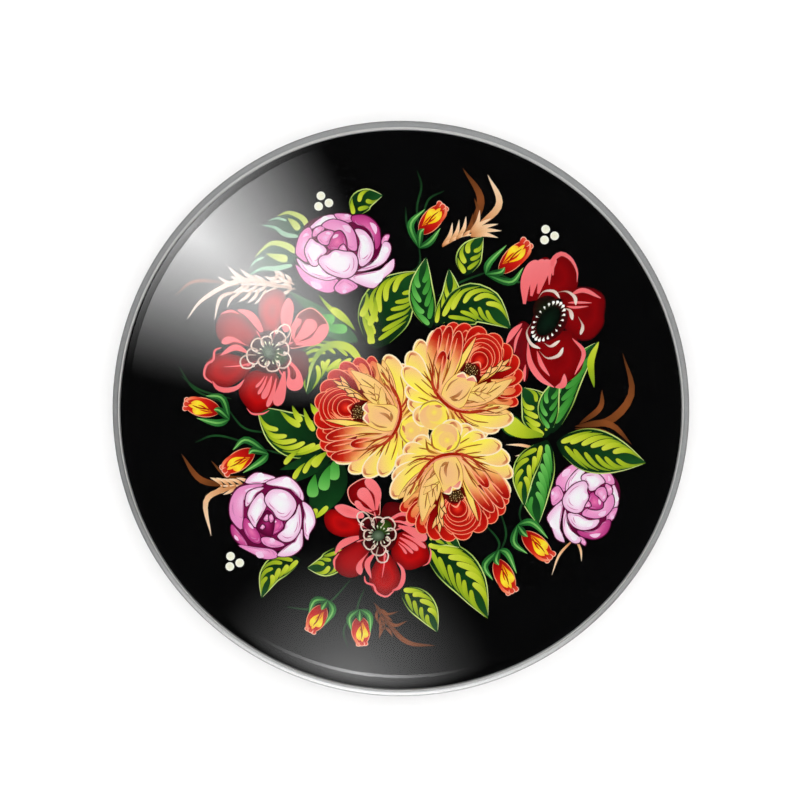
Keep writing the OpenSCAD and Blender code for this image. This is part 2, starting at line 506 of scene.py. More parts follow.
def veins(picture, start, tip, width, bow):
    """Two thin creases that follow a petal up from its foot."""
    line = bowed(start, tip, bow)
    for off, stop in ((0.2, 0.66), (-0.24, 0.5)):
        left = heading(line[0], line[2])[1] * off * width
        path = [along(line[0], line[1], 0.15) + left * 0.4, along(line[0], line[1], 0.8) + left,
                along(line[1], line[2], stop * 0.6) + left * 1.1]
        stroke(picture, path, 0.05, ["c87830", VEIN], "drop")


def tipped_petal(picture, start, end, width, bow):
    """A yellow and peach petal with a pale rim, a warm shadow inside its tip and creases."""
    petal(picture, start, end, width, YELLOW, PEACH_RIM, 0.06, bow, side=PEACH)
    line = bowed(start, end, bow)
    ahead, left = heading(line[1], line[2])
    crown = line[2] - ahead * width * 0.12
    shadow = [crown + left * width * 0.36 - ahead * width * 0.34, crown,
              crown - left * width * 0.3 - ahead * width * 0.2]
    stroke(picture, shadow, width * 0.14, ["cc6c48", "cc6c48", "f0b070"], "drop")
    veins(picture, start, end, width, bow)


def dahlia(name, place, turn):
    picture = Picture(name, "dahlia_ink", place, turn)
    spine = (1.8, -0.4)
    blob(picture,
         [(-1.3, -1.0), (-1.5, 0.6), (-0.6, 1.7), (0.8, 2.0), (2.1, 1.6), (2.7, 0.4), (2.7, -1.2),
          (1.6, -2.3), (0.2, -2.4), (-0.8, -1.8)], ["e89850", "f0b060", "c86030"])
    # Outer petals of the fan, from the bottom round the right side to the top
    for tip, width, bow in [((-0.95, -2.2), 0.55, 0.12), ((-0.35, -2.65), 0.7, 0.12),
                            ((2.45, -2.05), 0.8, -0.05), ((1.85, -2.4), 0.7, 0), ((0.3, -2.85), 0.78, 0.1),
                            ((1.05, -2.85), 0.68, 0.04), ((3.0, -1.5), 0.85, -0.05),
                            ((3.05, 0.35), 0.8, 0.05), ((2.85, 1.0), 0.8, 0), ((2.45, 1.6), 0.75, 0),
                            ((1.95, 2.0), 0.66, -0.05), ((1.25, 2.38), 0.75, -0.12)]:
        tipped_petal(picture, spine, tip, width, bow)
    # Outer petals of the ball, from the bottom round the left side to the top
    for tip, width, bow in [((0.6, 2.35), 0.55, -0.12), ((-0.02, 2.28), 0.7, -0.14),
                            ((-0.7, 2.05), 0.72, -0.16), ((-1.3, -1.95), 0.6, 0.16),
                            ((-1.25, 1.6), 0.75, -0.16), ((-1.62, -1.55), 0.75, 0.2),
                            ((-1.6, 1.05), 0.8, -0.12), ((-1.78, -1.0), 0.8, 0.2),
                            ((-1.85, 0.4), 0.85, -0.05), ((-1.88, -0.35), 0.85, 0.1)]:
        petal(picture, (0.1, 0.0), tip, width, RED, RED_RIM, 0.04, bow)
        for inset, w in ((0.86, 0.6), (0.72, 0.5)):
            line = bowed((0.1, 0.0), along((0.1, 0.0), tip, inset), bow)
            ahead, left = heading(line[1], line[2])
            left = left * w * width * 0.5
            fold = [line[2] + left - ahead * 0.25, line[2] + left * 0.2, line[2] - left - ahead * 0.3]
            stroke(picture, fold, 0.05, ["d83820", RED_RIM, "e85838"], "brush")
    # Warm peach lights on the top two petals
    for start, tip in (((0.1, 0.9), (-0.4, 1.85)), ((0.5, 1.0), (0.1, 2.05)), ((0.85, 1.1), (0.62, 2.15))):
        stroke(picture, bowed(start, tip, -0.1), 0.3, ["f8b060", "f4a060", "e86a40"], "petal",
               side=["f8c870", "e87848"])
    # The ball: shrinking round petals that drift towards the eye
    for x, y, r in [(-0.78, 0.12, 0.86), (-0.72, 0.16, 0.74), (-0.64, 0.1, 0.62), (-0.56, 0.14, 0.5),
                    (-0.48, 0.1, 0.37)]:
        disc(picture, (x, y), r, ["500000", "800404", "d01c12"], 1.05, 20, RED_RIM, 0.03)
    disc(picture, (-0.5, 0.12), 0.3, ["f04028", "d01c10", "980808"], 1, 0)
    # The dark eye with its stamens
    disc(picture, (0.1, -0.08), 0.45, ["1c0a04", "340a06", "600a08"], 0.9, 0)
    for i in range(34):
        angle, r = i * 2.4, 0.05 * math.sqrt(i + 0.5)
        disc(picture, (0.02 + r * math.cos(angle) * 0.8, -0.08 + r * math.sin(angle) * 1.1), 0.026,
             ["c0a468", "8c7040", "58441c"][i % 3])
    stroke(picture, [(-0.2, 0.3), (-0.42, 0.12), (-0.24, -0.18)], 0.07, [RED_RIM, "f8a080"], "brush")
    for lift in (0, 0.12, 0.24):
        stroke(picture,
               [(-1.15 - lift * 0.3, 0.05 - lift), (-0.75, -0.32 - lift * 0.7), (-0.1, -0.36 - lift)], 0.065,
               ["f87850", "f8a070", "fcc880"], "brush")
    # Yellow tongues above the eye, with dark gaps between them
    for x, y, w, bow in [(-0.75, 1.5, 0.15, 0.1), (-1.05, 1.3, 0.14, -0.02), (-0.7, 1.25, 0.16, 0.06),
                         (-0.9, 1.05, 0.13, -0.08), (-0.55, 0.95, 0.16, 0.04), (-0.45, 0.66, 0.13, -0.1),
                         (-0.15, 0.72, 0.15, 0.05)]:
        petal(picture, (0.5, 0.4), (x, y), w, ["a04814", "d88838", "f8c858", "f8cc80", "f8a868"], "5c1404",
              0.04, bow, "drop")
    # The lips below the eye, then long petals that end in red
    for start, tip, w, bow in [((1.3, -0.95), (-1.2, -1.0), 0.24, -0.04),
                               ((1.1, -0.85), (-1.4, -0.42), 0.24, -0.01),
                               ((0.95, -0.8), (-0.75, -0.78), 0.15, -0.03)]:
        petal(picture, start, tip, w, ["e89848", "f8b860", "fce060", "fcd470", "f8a868"], "742808", 0.045,
              bow, "brush")
    for tip, width, bow in [((-1.35, -1.2), 0.46, -0.06), ((-1.4, -1.65), 0.46, 0.04),
                            ((-1.15, -2.05), 0.5, 0.12), ((-0.3, -1.5), 0.4, 0.06)]:
        petal(picture, (1.6, -0.95), tip, width,
              ["f0b060", "fcc878", "fcdc78", "fcd070", "f8b868", "d03018", "980a08"], "f8a080", 0.04, bow,
              side=["f0a868", "f8b48c", "f8c080", "f4b078", "e05838", "b41410", "980a08"])
        for t, w in ((0.55, 0.06), (0.75, 0.05)):
            stroke(picture, bowed((1.35, -1.0 - t * 0.1), along((1.6, -1.1), tip, t), bow), w,
                   ["b85424", VEIN], "brush")
        stroke(picture, bowed(along((1.6, -0.95), tip, 0.5), along((1.6, -0.85), tip, 0.9), bow * 0.5), 0.06,
               ["f8a070", RED_RIM], "brush")
    # Inner petals between the spine and the eye, from the top down
    for start, tip, width, bow in [((1.7, 0.6), (1.1, 2.2), 0.42, 0.04),
                                   ((1.6, 0.5), (0.85, 2.1), 0.36, -0.04),
                                   ((1.6, 0.3), (0.4, 1.6), 0.42, 0.04),
                                   ((1.75, -0.2), (-0.28, 1.75), 0.6, -0.06),
                                   ((1.7, -0.2), (0.1, 1.1), 0.46, -0.04),
                                   ((1.7, -0.3), (0.25, 0.75), 0.36, -0.04),
                                   ((1.8, -0.3), (0.75, 1.15), 0.4, 0.1),
                                   ((1.8, -0.4), (1.05, 1.0), 0.4, 0.16)]:
        petal(picture, start, tip, width, ["f8b470", "f8c468", "fce468", "f8d078", "f8c870"], "a85c20", 0.03,
              bow, "brush", ["f4a878", "f8b880", "f8c880", "f4c078"])
        for t, off in ((0.8, 0.03), (0.6, -0.06)):
            stroke(picture, bowed(along(start, tip, 0.3) + off, along(start, tip, t) + off, bow), 0.045,
                   ["c87838", "8c4c18"], "drop")
    blob(picture,
         [(1.8, -0.75), (1.2, -0.9), (0.65, -0.75), (0.32, -0.5), (0.28, -0.15), (0.42, 0.3), (0.9, 0.25),
          (1.6, 0.2), (1.85, -0.2)], ["f6bc84", "f8c480", "fbd470"], "b86428", 0.025, (1.1, -0.25))
    for x, y in ((0.3, 0.1), (0.32, -0.35)):
        stroke(picture, [(x + 0.12, y + 0.2), (x + 0.04, y), (x + 0.2, y - 0.2)], 0.24, ["f4a890", "e88070"],
               "brush")
        stroke(picture, [(x + 0.1, y + 0.25), (x - 0.06, y), (x + 0.16, y - 0.24)], 0.075, PEACH_RIM,
               "brush")
    bows(picture, [((0.95, -0.1), (1.5, -0.5), 0.14, 0.13), ((0.55, -0.45), (1.3, -0.75), -0.12, 0.07),
                   ((0.72, 0.75), (0.85, 0.4), 0.45, 0.06), ((0.7, 0.2), (1.5, -0.1), 0.1, 0.05)],
         ["d89868", "9c5420"], "brush")
    stroke(picture, [(1.45, -0.1), (1.5, -0.3), (1.45, -0.5)], 0.12, ["9c6430", "c88048"], "brush")
    bows(picture, [((1.15, 1.2), (1.5, 0.75), 0.04, 0.1), ((0.65, 1.95), (0.8, 1.45), 0.04, 0.1),
                   ((1.0, 1.7), (1.35, 1.2), 0.04, 0.1)], ["a83c18", "c86838"], "brush")
    # The curl beside the spine
    disc(picture, (2.45, -0.85), 0.62, ["f6c880", "fbd868", "ffec48"], 1, 0, "fbdc98", 0.05)
    stroke(picture, [(2.1, -1.2), (2.6, -1.3), (2.95, -0.9), (2.75, -0.45)], 0.34,
           ["f4b87c", "f6c080", "fcd860"], "brush")
    disc(picture, (2.38, -0.88), 0.36, ["f4bc7c", "f8cc70", "f8c87a"], 1, 0)
    disc(picture, (2.34, -0.88), 0.15, ["fce458", "f8cc70"], 1, 0)
    stroke(picture, [(1.95, -0.5), (1.85, -1.0), (2.15, -1.42), (2.5, -1.52)], 0.06, ["c08838", "a89030"],
           "brush")
    stroke(picture, [(1.98, -0.65), (2.02, -0.8), (2.06, -0.98)], 0.12, ["c86848", "e09060"], "brush")
    stroke(picture, [(2.0, -0.25), (2.35, 0.05), (2.85, -0.08)], 0.1, ["c88030", VEIN], "brush")
    stroke(picture, [(2.05, -0.45), (2.4, -0.2), (2.9, -0.4)], 0.08, ["d89040", VEIN], "brush")
    # The spine and its side veins
    stroke(picture, [(1.25, 1.45), (1.75, 0.6), (1.88, -0.3), (1.45, -1.2), (0.4, -1.9)], 0.14,
           ["b03018", "a82010", "8c1c08"], "brush", count=24)
    stroke(picture, [(1.2, 1.1), (1.68, 0.45), (1.8, -0.2), (1.45, -1.05), (0.7, -1.55)], 0.07,
           ["f0a080", "f09870", "e89068"], "brush")
    bows(picture, [((1.92, 0.1), (2.2, 1.2), -0.14, 0.09), ((1.95, -0.1), (2.15, 0.5), -0.12, 0.06),
                   ((1.5, -1.1), (0.3, -1.75), -0.1, 0.08), ((1.3, -1.4), (0.0, -2.15), -0.08, 0.08),
                   ((1.6, -1.1), (0.95, -2.05), -0.1, 0.1), ((1.7, -0.9), (1.62, -1.4), 0.1, 0.08),
                   ((1.85, 0.4), (1.35, 1.8), 0.1, 0.08), ((1.4, -1.3), (0.5, -2.0), -0.06, 0.1)],
         ["c83c24", "a03418", VEIN], "comma")
    return picture


# ---------------------------------------------------------------------------------------------
# Peonies: overlapping rounded petals with dark pink outlines
# ---------------------------------------------------------------------------------------------
PALE = ["ffffff", "fdf0fa", "f4bce0"]
PINK = ["fcc8ea", "f4a0d0", "ec90c8"]
ROSE = ["f07cb4", "d8589c", "b83880"]
DEEP = ["b03078", "881850", "5c0832"]
OUTLINE = "560a32"

# Each petal: its colours and its outline, from the back of the flower to the front
TALL_PEONY = [(DEEP,
               [(-1.7, 1.0), (-0.9, 1.6), (0.4, 1.6), (1.4, 1.2), (1.7, 0.2), (1.2, -0.6), (0.2, -1.2),
                (-1.2, -1.0), (-1.7, -0.3)]),
              (PALE, [(-1.4, 1.1), (-1.0, 1.5), (-0.5, 1.7), (-0.2, 1.6), (-0.3, 1.3), (-0.9, 1.2)]),
              (PINK, [(-0.3, 1.72), (0.3, 1.72), (0.6, 1.5), (0.1, 1.35)]),
              (ROSE,
               [(0.5, 1.65), (1.1, 1.65), (1.6, 1.2), (1.7, 0.5), (1.5, 0.2), (1.4, 0.8), (1.0, 1.2),
                (0.5, 1.4)]), (PINK, [(1.75, 0.5), (1.9, 0.8), (2.1, 0.8), (2.0, 0.5), (1.9, 0.2)]),
              (PALE,
               [(1.7, 0.1), (1.85, 0.5), (2.1, 0.45), (2.15, 0.1), (1.85, -0.4), (1.2, -0.7), (0.7, -0.75),
                (1.3, -0.45), (1.6, -0.1)]),
              (PALE,
               [(2.3, -0.25), (2.25, -0.7), (1.8, -1.1), (1.4, -1.5), (0.7, -1.3), (0.3, -1.05),
                (1.0, -0.85), (1.7, -0.7), (2.1, -0.35)]),
              (PINK,
               [(-2.0, -0.5), (-1.7, -1.1), (-1.1, -1.55), (-0.5, -1.7), (-0.1, -1.4), (-0.3, -1.05),
                (-1.2, -1.0), (-1.7, -0.7)]),
              (PINK, [(-0.3, -1.5), (0.0, -1.75), (0.4, -1.65), (0.7, -1.4), (0.1, -1.1)]),
              (PINK,
               [(-2.0, 0.1), (-1.8, 0.85), (-1.4, 1.15), (-1.3, 0.7), (-1.6, 0.2), (-1.5, -0.35),
                (-1.8, -0.2)]),
              (PALE,
               [(-1.95, -0.2), (-1.6, -0.45), (-1.0, -0.55), (-0.6, -0.9), (-0.2, -1.05), (-0.7, -1.15),
                (-1.4, -0.9), (-1.8, -0.55)]),
              (PALE,
               [(-1.6, 0.2), (-1.35, 0.65), (-1.1, 0.5), (-0.8, 0.35), (-0.65, 0.1), (-0.9, -0.15),
                (-1.05, -0.5), (-1.3, -0.5), (-1.5, -0.2)]),
              (PINK, [(-1.25, 0.75), (-1.2, 1.05), (-0.95, 1.2), (-0.75, 1.1), (-0.95, 0.85)]),
              (PINK,
               [(-0.85, 1.25), (-0.4, 1.5), (0.2, 1.35), (0.5, 1.05), (0.65, 0.65), (0.65, 0.15),
                (0.3, 0.25), (0.2, 0.75), (0.0, 1.0), (-0.5, 1.05)]),
              (ROSE, [(-0.6, 0.25), (-0.5, 0.75), (-0.1, 1.0), (0.15, 0.75), (0.2, 0.25), (-0.2, 0.15)]),
              (PINK, [(-1.05, 0.75), (-0.7, 1.0), (-0.35, 0.95), (-0.5, 0.65), (-0.6, 0.4), (-0.9, 0.45)]),
              (PINK, [(-0.1, 0.2), (0.1, 0.4), (0.25, 0.05), (0.1, -0.1)]),
              (PALE,
               [(0.8, 0.55), (0.6, 1.05), (1.0, 1.0), (1.35, 0.55), (1.4, 0.05), (1.2, -0.35), (0.85, -0.55),
                (0.7, -0.1)]),
              (PALE,
               [(-1.0, -0.35), (-0.85, -0.1), (-0.6, -0.05), (-0.3, 0.15), (0.1, 0.1), (0.5, 0.05),
                (0.7, -0.25), (0.65, -0.75), (0.3, -1.05), (-0.2, -1.0), (-0.7, -0.75)])]
ROUND_PEONY = [(DEEP,
                [(-1.7, 1.0), (-0.8, 1.5), (0.8, 1.4), (1.4, 0.4), (1.4, -0.8), (0.6, -1.4), (-0.8, -1.4),
                 (-1.6, -0.6)]),
               (PALE,
                [(-1.15, 1.5), (-0.75, 1.9), (-0.25, 1.85), (0.15, 1.7), (-0.15, 1.55), (-0.55, 1.45)]),
               (PALE,
                [(-0.25, 1.45), (0.15, 1.65), (0.65, 1.75), (1.05, 1.5), (1.35, 1.05), (1.35, 0.7),
                 (0.95, 1.15), (0.35, 1.3)]),
               (PALE,
                [(1.35, 0.65), (1.75, 0.35), (1.9, -0.25), (1.65, -0.75), (1.6, -1.0), (1.45, -0.85),
                 (1.4, -0.25), (1.45, 0.15)]),
               (PINK,
                [(-1.75, 0.85), (-1.45, 1.25), (-0.95, 1.4), (-0.35, 1.4), (-0.85, 1.2), (-1.2, 0.85),
                 (-1.25, 0.35), (-1.3, -0.55), (-1.75, -0.15), (-1.85, 0.35)]),
               (ROSE,
                [(-1.75, -0.35), (-1.75, -0.75), (-1.45, -1.15), (-1.05, -1.35), (-1.15, -1.05),
                 (-1.45, -0.65)]),
               (PINK,
                [(-1.45, -1.25), (-0.85, -1.6), (-0.25, -1.85), (0.25, -1.75), (0.05, -1.45),
                 (-0.65, -1.35)]),
               (PALE,
                [(0.25, -1.7), (0.85, -1.7), (1.3, -1.35), (1.35, -0.85), (1.3, -0.55), (1.05, -1.05),
                 (0.65, -1.3)]),
               (PALE,
                [(-1.15, 0.65), (-1.05, 1.05), (-0.65, 1.25), (-0.35, 1.25), (-0.65, 1.05), (-0.85, 0.7),
                 (-1.1, 0.45)]),
               (ROSE,
                [(-1.25, -0.35), (-1.15, -0.05), (-0.85, -0.35), (-0.55, -0.75), (-0.5, -1.15),
                 (-0.85, -1.1), (-1.15, -0.75)]),
               (PINK,
                [(-0.45, -0.95), (-0.15, -0.9), (0.25, -1.05), (0.55, -1.25), (0.05, -1.35), (-0.35, -1.2)]),
               (PALE,
                [(0.25, -0.85), (0.55, -0.55), (0.65, -0.25), (1.05, 0.15), (1.2, 0.55), (1.3, 0.05),
                 (1.25, -0.55), (0.95, -1.0), (0.55, -1.1)]),
               (PALE,
                [(-1.05, 0.15), (-0.85, 0.65), (-0.45, 1.05), (-0.3, 0.75), (-0.25, 0.45), (-0.45, 0.05),
                 (-0.6, -0.35), (-0.75, -0.45), (-0.95, -0.15)]),
               (ROSE, [(0.0, -0.75), (0.05, -0.2), (0.2, -0.1), (0.45, -0.2), (0.5, -0.45), (0.25, -0.7)]),
               (DEEP,
                [(-0.65, -0.45), (-0.45, -0.05), (-0.2, 0.25), (0.05, 0.05), (0.1, -0.15), (0.0, -0.8),
                 (-0.35, -0.75)]), (PINK, [(-0.35, -0.1), (-0.2, 0.1), (-0.1, -0.1), (-0.25, -0.2)]),
               (PINK, [(-0.12, 0.0), (0.0, 0.1), (0.08, -0.12), (-0.05, -0.25)]),
               (PINK, [(-0.5, -0.5), (-0.4, -0.35), (-0.3, -0.45), (-0.4, -0.55)]),
               (PALE,
                [(-0.3, 0.8), (-0.05, 1.15), (0.35, 1.2), (0.75, 1.05), (1.05, 0.65), (1.0, 0.25),
                 (0.65, -0.15), (0.25, -0.05), (0.05, 0.25), (-0.2, 0.5)])]


def peony(name, petals, place, turn, size):
    picture = Picture(name, "peony_ink", place, turn, size)
    for colours, outline in petals:
        blob(picture, outline, colours, OUTLINE, 0.05 / size)
        ring = smooth(outline, 24, closed=True)
        middle = ring.mean(axis=0)
        # A soft light on one side of the petal and a few fine creases towards its foot
        light = middle + (ring[4:9] - middle) * 0.62
        if colours is not DEEP:
            stroke(picture, light, 0.16 * np.ptp(ring[:, 0]), ["fff6fd" if colours is PALE else "fbd0ec"],
                   "brush")
            for k, off in ((12, 0.8), (14, 0.6), (19, 0.75)):
                stroke(picture, middle + (ring[k:k + 5] - middle) * off, 0.035, "d880b4", "brush")
    return picture


# ---------------------------------------------------------------------------------------------
# Poppies: dark red petals with salmon strokes, round a dark heart with cream loops
# ---------------------------------------------------------------------------------------------
CRIMSON = ["7a0408", "8c060a", "700408"]
SCARLET = ["a00c10", "c00c0c", "7a0408"]
SALMON = ["f46c70", "fa8084"]
CREAM = ["b89c8a", "e2cabc", "f2e4d8"]


def loop(picture, centre, angle, reach, lean):
    """A cream loop out from a poppy's heart and back, with a round knob on its end."""
    path = []
    for turn, r in [(-16, 0.42), (-22, 0.75), (-10, 0.97), (10, 1), (24, 0.82), (26, 0.66)]:
        a = math.radians(angle + turn * lean)
        path.append((centre[0] + reach * r * math.cos(a), centre[1] + reach * r * math.sin(a)))
    stroke(picture, path, 0.065, CREAM, "line", count=18)
    disc(picture, path[-1], 0.065, CREAM)


def open_poppy(name, place, turn, size):
    """A poppy seen from the front, its heart at the origin."""
    picture = Picture(name, "poppy_ink", place, turn, size)
    blob(picture, [(-0.2, 0.9), (-0.5, 1.8), (-0.3, 2.5), (0.3, 2.8), (0.7, 2.5), (0.6, 1.7), (0.3, 0.8)],
         SCARLET)
    blob(picture,
         [(-0.3, 0.6), (-0.9, 1.4), (-1.5, 1.85), (-2.1, 1.7), (-2.35, 1.1), (-2.1, 0.5), (-1.3, 0.3),
          (-0.6, 0.4)], ["b01014", "a80c10", "78040a"])
    stroke(picture, [(-0.2, 0.7), (-0.55, 1.3), (-0.9, 1.7), (-1.4, 1.9)], 0.34, SALMON, "brush", count=18)
    stroke(picture, [(-1.3, 1.7), (-1.7, 1.85), (-2.15, 1.7)], 0.1, SALMON, "brush")
    blob(picture, [(0.9, 0.1), (1.6, 0.0), (1.7, -0.8), (1.2, -1.6), (0.6, -1.3), (0.4, -0.4)],
         ["5c060a", "64080c", "4a0408"])
    blob(picture, [(0.1, -0.8), (-0.8, -0.8), (-1.3, -1.4), (-1.25, -2.0), (-0.7, -2.6), (-0.2, -2.5),
                   (0.4, -2.0), (0.45, -1.2)], SCARLET)
    blob(picture, [(-0.8, -0.4), (-1.4, -0.1), (-2.2, 0.0), (-2.75, -0.4), (-2.85, -1.0), (-2.5, -1.35),
                   (-1.9, -1.5), (-1.3, -1.2), (-0.8, -0.7)], SCARLET)
    # Salmon rims and strokes of the left and bottom petals
    stroke(picture, [(-2.1, 0.25), (-2.4, 0.1), (-2.45, -0.3), (-2.75, -0.5), (-2.85, -1.0), (-2.5, -1.3)],
           0.1, SALMON, "line", count=20)
    stroke(picture, [(-2.5, -1.2), (-2.3, -1.5), (-1.9, -1.62), (-1.4, -1.5), (-1.1, -1.15)], 0.22, SALMON,
           "brush")
    stroke(picture, [(-0.9, 0.0), (-1.5, 0.25), (-2.15, -0.1)], 0.26, SALMON, "brush")
    stroke(picture, [(-0.9, 0.3), (-1.6, 0.6), (-2.1, 0.45)], 0.32, SALMON, "drop")
    stroke(picture, [(-0.8, -0.45), (-1.3, -0.55), (-2.0, -0.6)], 0.08, SALMON, "comma")
    stroke(picture, [(-1.0, -2.4), (-0.75, -2.65), (-0.3, -2.65), (-0.0, -2.5)], 0.08, SALMON, "brush")
    bows(picture, [((-0.2, -1.0), (-0.6, -1.5), 0.04, 0.12), ((-0.1, -1.0), (-0.5, -1.8), 0.04, 0.15),
                   ((0.1, -1.0), (-0.3, -2.0), 0.04, 0.28), ((0.3, -1.1), (-0.1, -2.35), 0.04, 0.22),
                   ((0.65, -0.8), (0.3, -2.3), 0.04, 0.5)], SALMON, "petal")
    # Lower right teardrop, upper right salmon petals with their dark folds
    petal(picture, (0.8, -0.3), (1.1, -1.65), 0.75, SALMON, bow=0.1)
    petal(picture, (0.85, -0.5), (1.05, -1.15), 0.26, CRIMSON, bow=0.1)
    blob(picture, [(0.6, 1.0), (0.5, 1.8), (0.8, 2.4), (1.05, 2.1), (1.0, 1.5), (0.85, 1.0)], SALMON)
    blob(picture, [(0.9, 0.3), (1.1, 1.2), (1.3, 1.7), (1.8, 1.95), (2.2, 1.7), (2.5, 1.3), (2.5, 0.9),
                   (2.0, 0.5), (1.4, 0.3)], CRIMSON, "f8a090", 0.05)
    bows(picture, [((1.15, 0.4), (2.5, 1.25), -0.2, 0.5), ((1.1, 0.5), (1.95, 1.45), -0.05, 0.6),
                   ((1.05, 0.6), (1.35, 1.5), 0.15, 0.3)], SALMON, "petal")
    # The heart: dark ground, salmon streaks, green calyx, stamens and loops
    disc(picture, (0.0, 0.05), 0.95, ["200a0c", "2c0a0c", "50080c"])
    for angle in (-150, -60, 25, 75, 120):
        ray = np.array([math.cos(math.radians(angle)), math.sin(math.radians(angle))])
        stroke(picture, [ray * 0.6, ray * 1.15], 0.07, ["c05054", "f08084"], "drop")
    disc(picture, (0.42, -0.15), 0.38, ["3c5a18", "2e4612", "1c2c0c"])
    for i in range(8):
        loop(picture, (0, 0.05), 45 * i + 12, 0.86 + 0.18 * math.sin(i * 2.1), 1.15)
    loop(picture, (0, 0), 200, 1.35, 0.7)
    loop(picture, (0, 0), 55, 1.45, 0.6)
    disc(picture, (-0.05, 0.05), 0.32, ["70806a", "5a6c54", "2a3a2a"], 0.85, 20)
    for i in range(16):
        a = 2 * math.pi * i / 16
        ray = np.array([math.cos(a), math.sin(a) * 1.1])
        stroke(picture, [ray * 0.3, ray * (0.42 + 0.05 * (i % 3))], 0.06, ["a8b090", "fbf8e0"], "drop",
               count=7)
    return picture


def tilted_poppy(name, place):
    """A poppy turned half away, with a long dark heart."""
    picture = Picture(name, "poppy_ink", place)
    blob(picture,
         [(-1.2, -0.1), (-1.7, -0.6), (-1.9, -1.0), (-1.6, -1.5), (-1.4, -2.5), (-1.0, -2.7), (-0.9, -1.8),
          (-0.9, -1.0), (-0.8, -0.4)], ["6a0c14", "780810", "5c060c"])
    blob(picture, [(0.7, 1.1), (1.4, 1.35), (2.1, 1.2), (2.4, 0.8), (2.35, 0.2), (2.3, -0.3), (1.8, -0.85),
                   (1.1, -0.8), (0.5, 0.0)], CRIMSON, "4c060c", 0.06)
    blob(picture,
         [(-0.5, -1.0), (-0.9, -1.4), (-0.9, -2.0), (-0.5, -2.6), (0.2, -3.0), (0.9, -2.7), (1.4, -2.2),
          (1.5, -1.6), (1.3, -1.1), (0.8, -0.5)], CRIMSON)
    blob(picture,
         [(-1.1, 0.8), (-1.0, 1.6), (-0.7, 2.4), (-0.2, 2.7), (0.1, 2.6), (0.5, 2.85), (0.9, 2.6),
          (1.2, 2.0), (1.2, 1.4), (0.7, 0.9), (-0.1, 0.9)], CRIMSON)
    # Salmon light on the top petal, in ragged strokes
    bows(picture, [((-1.1, 0.65), (-0.5, 2.55), 0.12, 0.6), ((-0.8, 1.0), (-0.25, 2.6), 0.06, 0.5),
                   ((-0.5, 1.1), (-0.05, 2.6), 0.02, 0.5), ((-0.02, 1.5), (0.05, 2.6), 0.0, 0.2),
                   ((0.15, 1.9), (0.25, 2.65), 0.1, 0.24)], SALMON, "petal")
    stroke(picture, [(0.1, 2.3), (0.2, 2.65), (0.55, 2.85), (0.95, 2.6), (1.2, 2.1), (1.2, 1.6)], 0.2,
           SALMON, "comma", count=20)
    # Salmon strokes of the other petals
    strokes(picture, [([(0.9, 1.05), (1.5, 1.25), (2.25, 0.9)], 0.2),
                      ([(0.8, 0.7), (1.2, 0.72), (1.85, 0.7)], 0.1),
                      ([(0.75, 0.55), (1.1, 0.5), (1.7, 0.55)], 0.1),
                      ([(-0.95, -1.0), (-0.85, -1.9), (-0.4, -2.6), (0.2, -3.0)], 0.26),
                      ([(-0.55, -1.4), (-0.35, -2.0), (0.0, -2.5)], 0.18),
                      ([(1.0, -0.85), (1.5, -1.5), (1.1, -2.45)], 0.18),
                      ([(0.25, -3.0), (0.6, -2.85), (0.65, -2.4)], 0.28),
                      ([(-1.2, -0.2), (-1.6, -0.6), (-1.9, -1.1)], 0.26),
                      ([(-1.2, -0.4), (-1.45, -0.9), (-1.55, -1.5)], 0.12),
                      ([(-1.05, -2.0), (-1.1, -2.4), (-1.1, -2.75)], 0.13)], SALMON, "brush", 18)
    # The dark heart, tilted, in a ring of stamens
    disc(picture, (0.0, -0.1), 0.72, ["100c08", "1c0806", "4c0508"], 1.35, 55)
    disc(picture, (-0.15, 0.45), 0.55, ["1c2410", "141a0c", "2c0808"], 1.1, 40)
    disc(picture, (-0.05, -0.1), 0.4, ["0c2014", "0a1c12", "081008"], 1.8, 55)
    heart, long_axis, short_axis = np.array([-0.05, -0.1]), 0.8, 0.45
    for i in range(22):
        a = 2 * math.pi * i / 22
        ray = turned(np.array([long_axis * math.cos(a), short_axis * math.sin(a)]), 55)
        big = 0.5 + 0.5 * abs(math.cos(a))
        stroke(picture, [heart + ray, heart + ray * 1.28], 0.13 * big, ["fbfbe8", "ffffff"], "drop", count=8)
    strokes(picture, [([(-0.5, 0.9), (-0.25, 1.2), (0.2, 1.2), (0.45, 0.9)], 0.13),
                      ([(0.3, 1.15), (0.75, 1.2), (1.1, 0.95), (1.15, 0.6)], 0.15),
                      ([(0.6, 0.48), (0.9, 0.35), (1.0, -0.05)], 0.17),
                      ([(1.25, 0.1), (1.45, -0.3), (1.35, -0.7)], 0.14),
                      ([(-0.8, -0.2), (-1.0, -0.6), (-0.8, -1.1), (-0.4, -1.3)], 0.14),
                      ([(-0.25, -1.05), (0.05, -1.2), (0.45, -0.95)], 0.13),
                      ([(-0.45, -1.4), (-0.1, -1.72), (0.4, -1.6), (0.6, -1.25)], 0.15)], CREAM, "drop", 18)
    return picture


# ---------------------------------------------------------------------------------------------
# Buds, leaves, sprays and dots
# ---------------------------------------------------------------------------------------------
LIME = ["7c9c20", "b8c828", "d4dc48"]
GREEN = ["2c7a24", "4ca040", "74c45c"]
DARK_LEAF = ["0a2410", "103a18", "1a4c20"]
# A leaf green paled and greyed as painted reflection: the dome's glare in the upper left is painted into it.
GLARE_PALED_LEAF = ["2c5c34", "386c3c", "2c5c34"]


